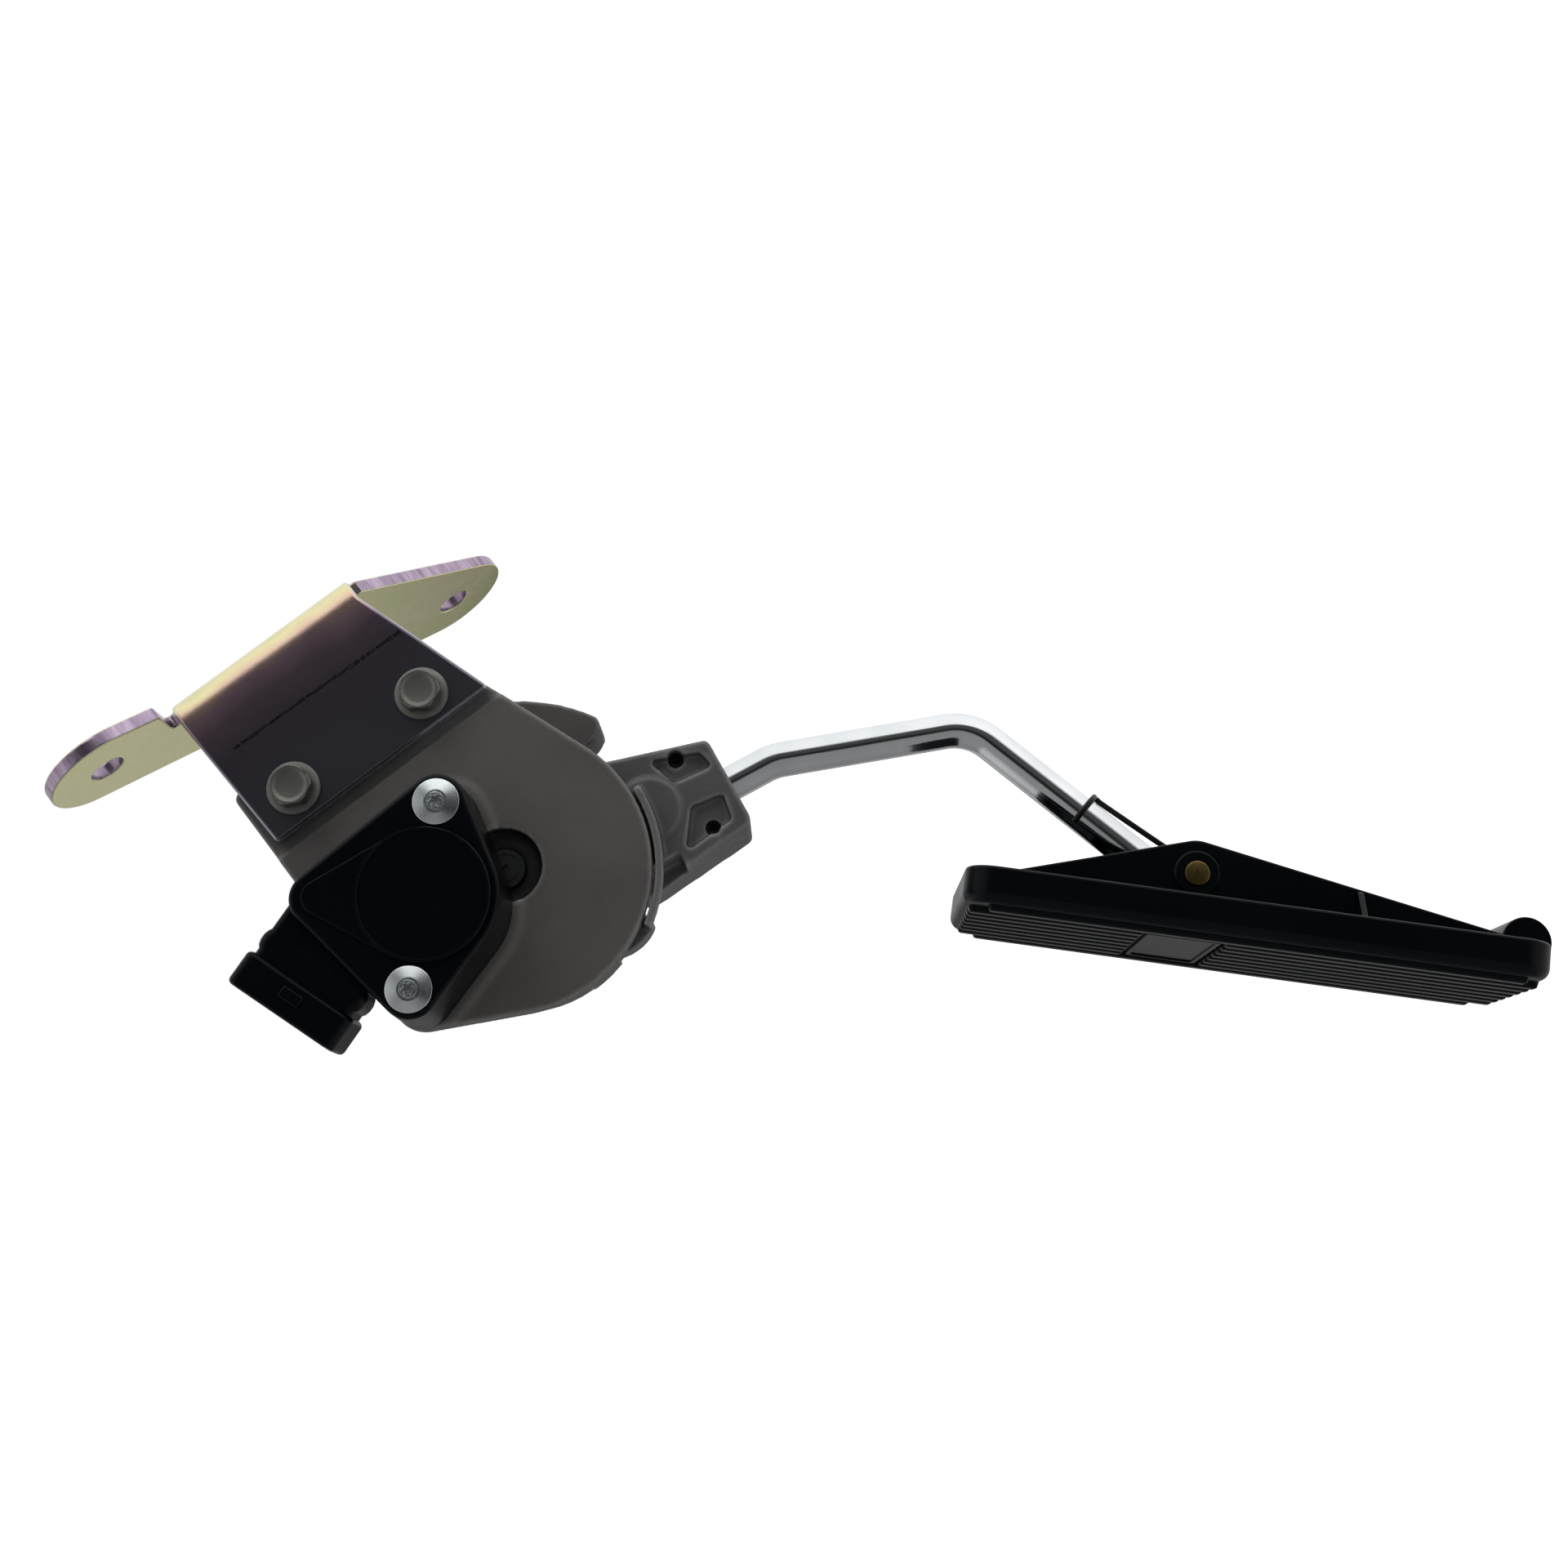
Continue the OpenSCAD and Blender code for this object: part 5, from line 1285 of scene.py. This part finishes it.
@dataclass
class Sensor:
    """Moulded position sensor with its lid, screws and connector socket.

    The outline lies round the two screws, the sensor's axis and a lobe, given by its place and radius. The
    connector's middle across, its width and its thickness are plug_mid, plug_w and plug_t.
    """

    base_x: float = 29.8
    top_x: float = 50.8
    screw_r: float = 7.7
    axis_r: float = 19.3
    lobe: tuple[float, float, float] = (-70.8, 25.2, 7.4)
    plug_mid: float = -12.8
    plug_w: float = 29.2
    plug_t: float = 13.0

    def build(self) -> None:
        """Builds the body with its socket, the lid and the screws."""
        places = [screw_place(side) for side in (-1, 1)]
        outline = rounded([(*places[0], self.screw_r), self.lobe, (*places[1], self.screw_r),
                           (*SENSOR, self.axis_r)])
        body = Solid().slab(outline, self.base_x, self.top_x, 0.3, 1.3, [circle(at, 4.0, 32) for at in places],
                            steps=5, draft=0.5)
        self.socket(body)
        body.build("sensor_moulding", SENSOR_PLASTIC, "frame", "sensor_plastic", ["sensor_body"])
        outline = rounded([(*SENSOR, 17), (self.lobe[0] - 0.5, self.lobe[1] - 0.6, 4.6)], -0.2)
        lid = Solid().slab(outline, self.top_x - 0.5, self.top_x + 1, 0.1, 0.45, steps=4)
        ring = [(15.9, 0.5), (16.7, 0.5), (16.7, 1.25), (16.5, 1.48), (16.1, 1.48), (15.9, 1.25)]
        lid.lathe(ring, SENSOR, self.top_x, 96, ring=True)
        lid.build("sensor_cap", SENSOR_PLASTIC, "frame", "sensor_plastic", ["sensor_lid"])
        for number, at in enumerate(places, 1):
            self.screw(at).build(f"star_screw_{number}", ZINC_SCREW, "frame", "bright_zinc",
                                 [f"sensor_screw_{number}"])

    def socket(self, made: Solid) -> None:
        """Adds the connector: shroud, round beads before the end flange, end flange with its nib and the cavity.

        One closed surface: the round rectangle grows and shrinks with each row's step, then turns back inside.
        Before the end flange its thickness takes a fifth of the step.

        Args:
            made: the piece in the making.
        """
        half, t = self.plug_w / 2, self.plug_t / 2
        rows = [(13.0, -0.3, 2.2), (13.3, 0.0, 2.2), (27.0, 0.0, 2.2), (27.8, 0.5, 2.4), (29.0, 0.9, 2.6),
                (30.6, 0.9, 2.6), (31.9, 0.5, 2.4), (32.6, -0.1, 2.2), (34.0, -0.1, 2.2), (34.3, 0.7, 2.5),
                (34.7, 1.1, 2.6), (35.3, 1.3, 2.6), (42.4, 1.3, 2.6), (43.1, 1.05, 2.5), (43.5, 0.5, 2.4)]
        rows = [(h, step, t + (step if h > 34 else 0.2 * step), r) for h, step, r in rows]
        rows += [(h, step, t + step, 1.0) for h, step in ((43.5, -1.5), (43.1, -1.8), (28.0, -1.9), (27.8, -2.2))]
        rings = [(h, rectangle(self.plug_mid, half + step, -thick, thick, r, 7.0)) for h, step, thick, r in rows]
        made.grid(np.stack([np.column_stack([ring, np.full(len(ring), h)]) for h, ring in rings]), at_plug)
        made.slab(rectangle(self.plug_mid, 3.0, t, t + 2.0, 0.6, 7.0), 36.4, 39.6, 0.5, 0.5, (), at_plug)

    def screw(self, at: np.ndarray) -> Solid:
        """Wide flat head with a small raised middle and a six-point star recess.

        The star's radius is 1.66 + 0.26 cos 6a; the head's rows run from the shank over the rim, up a cone of 13
        degrees and through a narrow moat to it.

        Args:
            at: place in Y and Z.
        Returns:
            The piece in the making.
        """
        rows = [(2.5, -26.3), (2.5, 0.0), (5.6, 0.0), (5.78, 0.12), (5.83, 0.33), (5.76, 0.5), (5.6, 0.58),
                (3.0, 1.18), (2.88, 1.19), (2.8, 1.08), (2.77, 0.2), (2.28, 0.2), (2.24, 1.6), (2.18, 1.72),
                (2.05, 1.76)]
        star = 1.66 + 0.26 * np.cos(6 * round_angles(96))
        grid = socket_head(rows, star, [(1, 1.74), (0.97, 1.55), (0.92, 0.3), (0.08, 0.15)], at, self.top_x)
        return Solid().grid(grid, along_x)


CARRIED = {
    "pivot_shaft": STEEL, "hub_bush_near": BRONZE, "hub_bush_far": BRONZE, "thrust_washer_near": NYLON,
    "thrust_washer_far": NYLON, "rod_sleeve": STEEL, "pin_clip": BLACK_OXIDE, "sensor_rotor": NYLON,
    "sensor_board": BOARD, "sensor_seal": RUBBER, "sensor_sleeve_1": BRASS, "sensor_sleeve_2": BRASS,
    **{f"terminal_{i}": TINNED for i in range(1, 7)},
}


def dress_carried() -> None:
    """Gives the CAD nodes that stay, inside or seen as they are, their finishes."""
    for name, finish in CARRIED.items():
        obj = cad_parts[name]
        obj.data.materials.clear()
        obj.data.materials.append(finish.material())
        LOG.info("%s: finish %s", name, finish.name)


@dataclass
class Studio:
    """Pale floor, soft lamps, a white world and the camera at the photograph's place.

    A lamp is its name, side in metres, power in watts and place in metres.
    """

    floor_z: float = -330.0
    floor_half: float = 4.0
    camera_at: tuple[float, float, float] = (562.4956, -207.0281, -17.6844)
    lens: float = 48.75
    aim: tuple[float, float, float] = (0.01, -0.1, -0.07)
    lamps: tuple[tuple[str, float, float, tuple[float, float, float]], ...] = (
        ("key", 0.5, 3.0, (0.45, 0.7, -0.1)), ("fill", 0.7, 1.0, (0.3, -0.85, 0.2)))

    def build(self) -> None:
        """Builds the whole studio."""
        self.camera()
        self.floor()
        self.world()
        bpy.context.scene.view_settings.view_transform = "Standard"
        for name, size, watts, at in self.lamps:
            self.lamp(name, size, watts, at)

    def camera(self) -> None:
        """Camera: its axes in the row frame are those of the photograph."""
        data = bpy.data.cameras.new("camera")
        data.sensor_width, data.lens = 36.0, self.lens
        data.clip_start, data.clip_end = 0.01, 20
        obj = linked("camera", data)
        right, down, ahead = np.array(VIEW)
        turn = Matrix(np.column_stack([right, -down, -ahead]).tolist()).to_4x4()
        obj.matrix_world = Matrix.Translation(Vector(self.camera_at) * MM) @ turn
        bpy.context.scene.camera = obj

    def lamp(self, name: str, size: float, watts: float, at: tuple[float, float, float]) -> None:
        """Adds a square soft lamp that looks at the object's middle.

        Args:
            name: its name.
            size: side in metres.
            watts: its power.
            at: place in metres.
        """
        data = bpy.data.lights.new(name, "AREA")
        data.shape, data.size, data.energy = "SQUARE", size, watts
        obj = linked(name, data)
        obj.location = at
        obj.visible_glossy = False
        obj.rotation_euler = (Vector(self.aim) - Vector(at)).to_track_quat("-Z", "Y").to_euler()

    def floor(self) -> None:
        """Pale matt floor that looks white but keeps the object's shadow."""
        mesh = bpy.data.meshes.new("floor")
        s, z = self.floor_half, self.floor_z * MM
        mesh.from_pydata([(-s, -s, z), (s, -s, z), (s, s, z), (-s, s, z)], [], [(0, 1, 2, 3)])
        obj = linked("floor", mesh)
        paint = bpy.data.materials.new("white_floor")
        tree = empty_tree(paint)
        matt = node(tree, "BsdfDiffuse", {"Color": (0.9, 0.9, 0.9, 1)})
        seen = node(tree, "LightPath").outputs["Is Camera Ray"]
        level = node(tree, "Math", {0: seen, 1: 0.8}, operation="MULTIPLY")
        glow = node(tree, "Emission", {"Color": (1, 1, 1, 1), "Strength": level})
        node(tree, "OutputMaterial", {"Surface": node(tree, "AddShader", {0: matt, 1: glow})})
        mesh.materials.append(paint)
        obj.visible_glossy = False

    def world(self) -> None:
        """World: white to the eye; for light and reflections a tent, bright above, with dark gaps ahead and behind.

        With d the ray's direction and shares (d . axis + 1) / 2 of the photograph's axes, the level is the larger
        of a ramp over the share to the right and a blend, by the share ahead, of two ramps over the share down.
        """
        world = bpy.data.worlds.new("studio")
        bpy.context.scene.world = world
        tree = empty_tree(world)
        ray = node(tree, "TexCoord").outputs["Generated"]
        dots = [node(tree, "VectorMath", {0: ray, 1: axis}, operation="DOT_PRODUCT") for axis in VIEW]
        right, down, ahead = (node(tree, "MapRange", {0: dot.outputs["Value"], 1: -1.0, 2: 1.0}) for dot in dots)
        sides = node(tree, "ValToRGB", {0: right}, [(0.0, 0.6), (0.15, 0.5), (0.27, 0.0), (0.73, 0.0), (0.85, 0.5),
                                                    (1.0, 0.6)])
        front = node(tree, "ValToRGB", {0: down}, [(0.0, 1.0), (0.14, 1.0), (0.19, 0.06), (0.33, 0.055),
                                                   (0.38, 0.015), (0.475, 0.015), (0.52, 0.22), (1.0, 0.24)])
        rear = node(tree, "ValToRGB", {0: down}, [(0.0, 1.0), (0.35, 0.8), (0.5, 0.55), (0.6, 0.35), (0.65, 0.1),
                                                  (0.7, 0.1), (0.735, 0.42), (0.81, 0.4), (0.87, 0.2), (1.0, 0.22)])
        half = node(tree, "MapRange", {0: ahead, 1: 0.35, 2: 0.5})
        both = node(tree, "Mix", {0: half, 6: front, 7: rear}, data_type="RGBA").outputs[2]
        room = node(tree, "Math", {0: sides, 1: both}, operation="MAXIMUM")
        level = node(tree, "Math", {0: room, 1: 1.25}, operation="MULTIPLY")
        light = node(tree, "Background", {"Color": (1, 1, 1, 1), "Strength": level})
        white = node(tree, "Background", {"Color": (1, 1, 1, 1), "Strength": 1.0})
        seen = node(tree, "LightPath").outputs["Is Camera Ray"]
        node(tree, "OutputWorld", {"Surface": node(tree, "MixShader", {0: seen, 1: light, 2: white})})


def main() -> None:
    """Builds everything in order."""
    Studio().build()
    Bracket().build()
    Housing().build()
    Arm().build()
    Pad().build()
    Sensor().build()
    dress_carried()


if __name__ == "__main__":
    main()
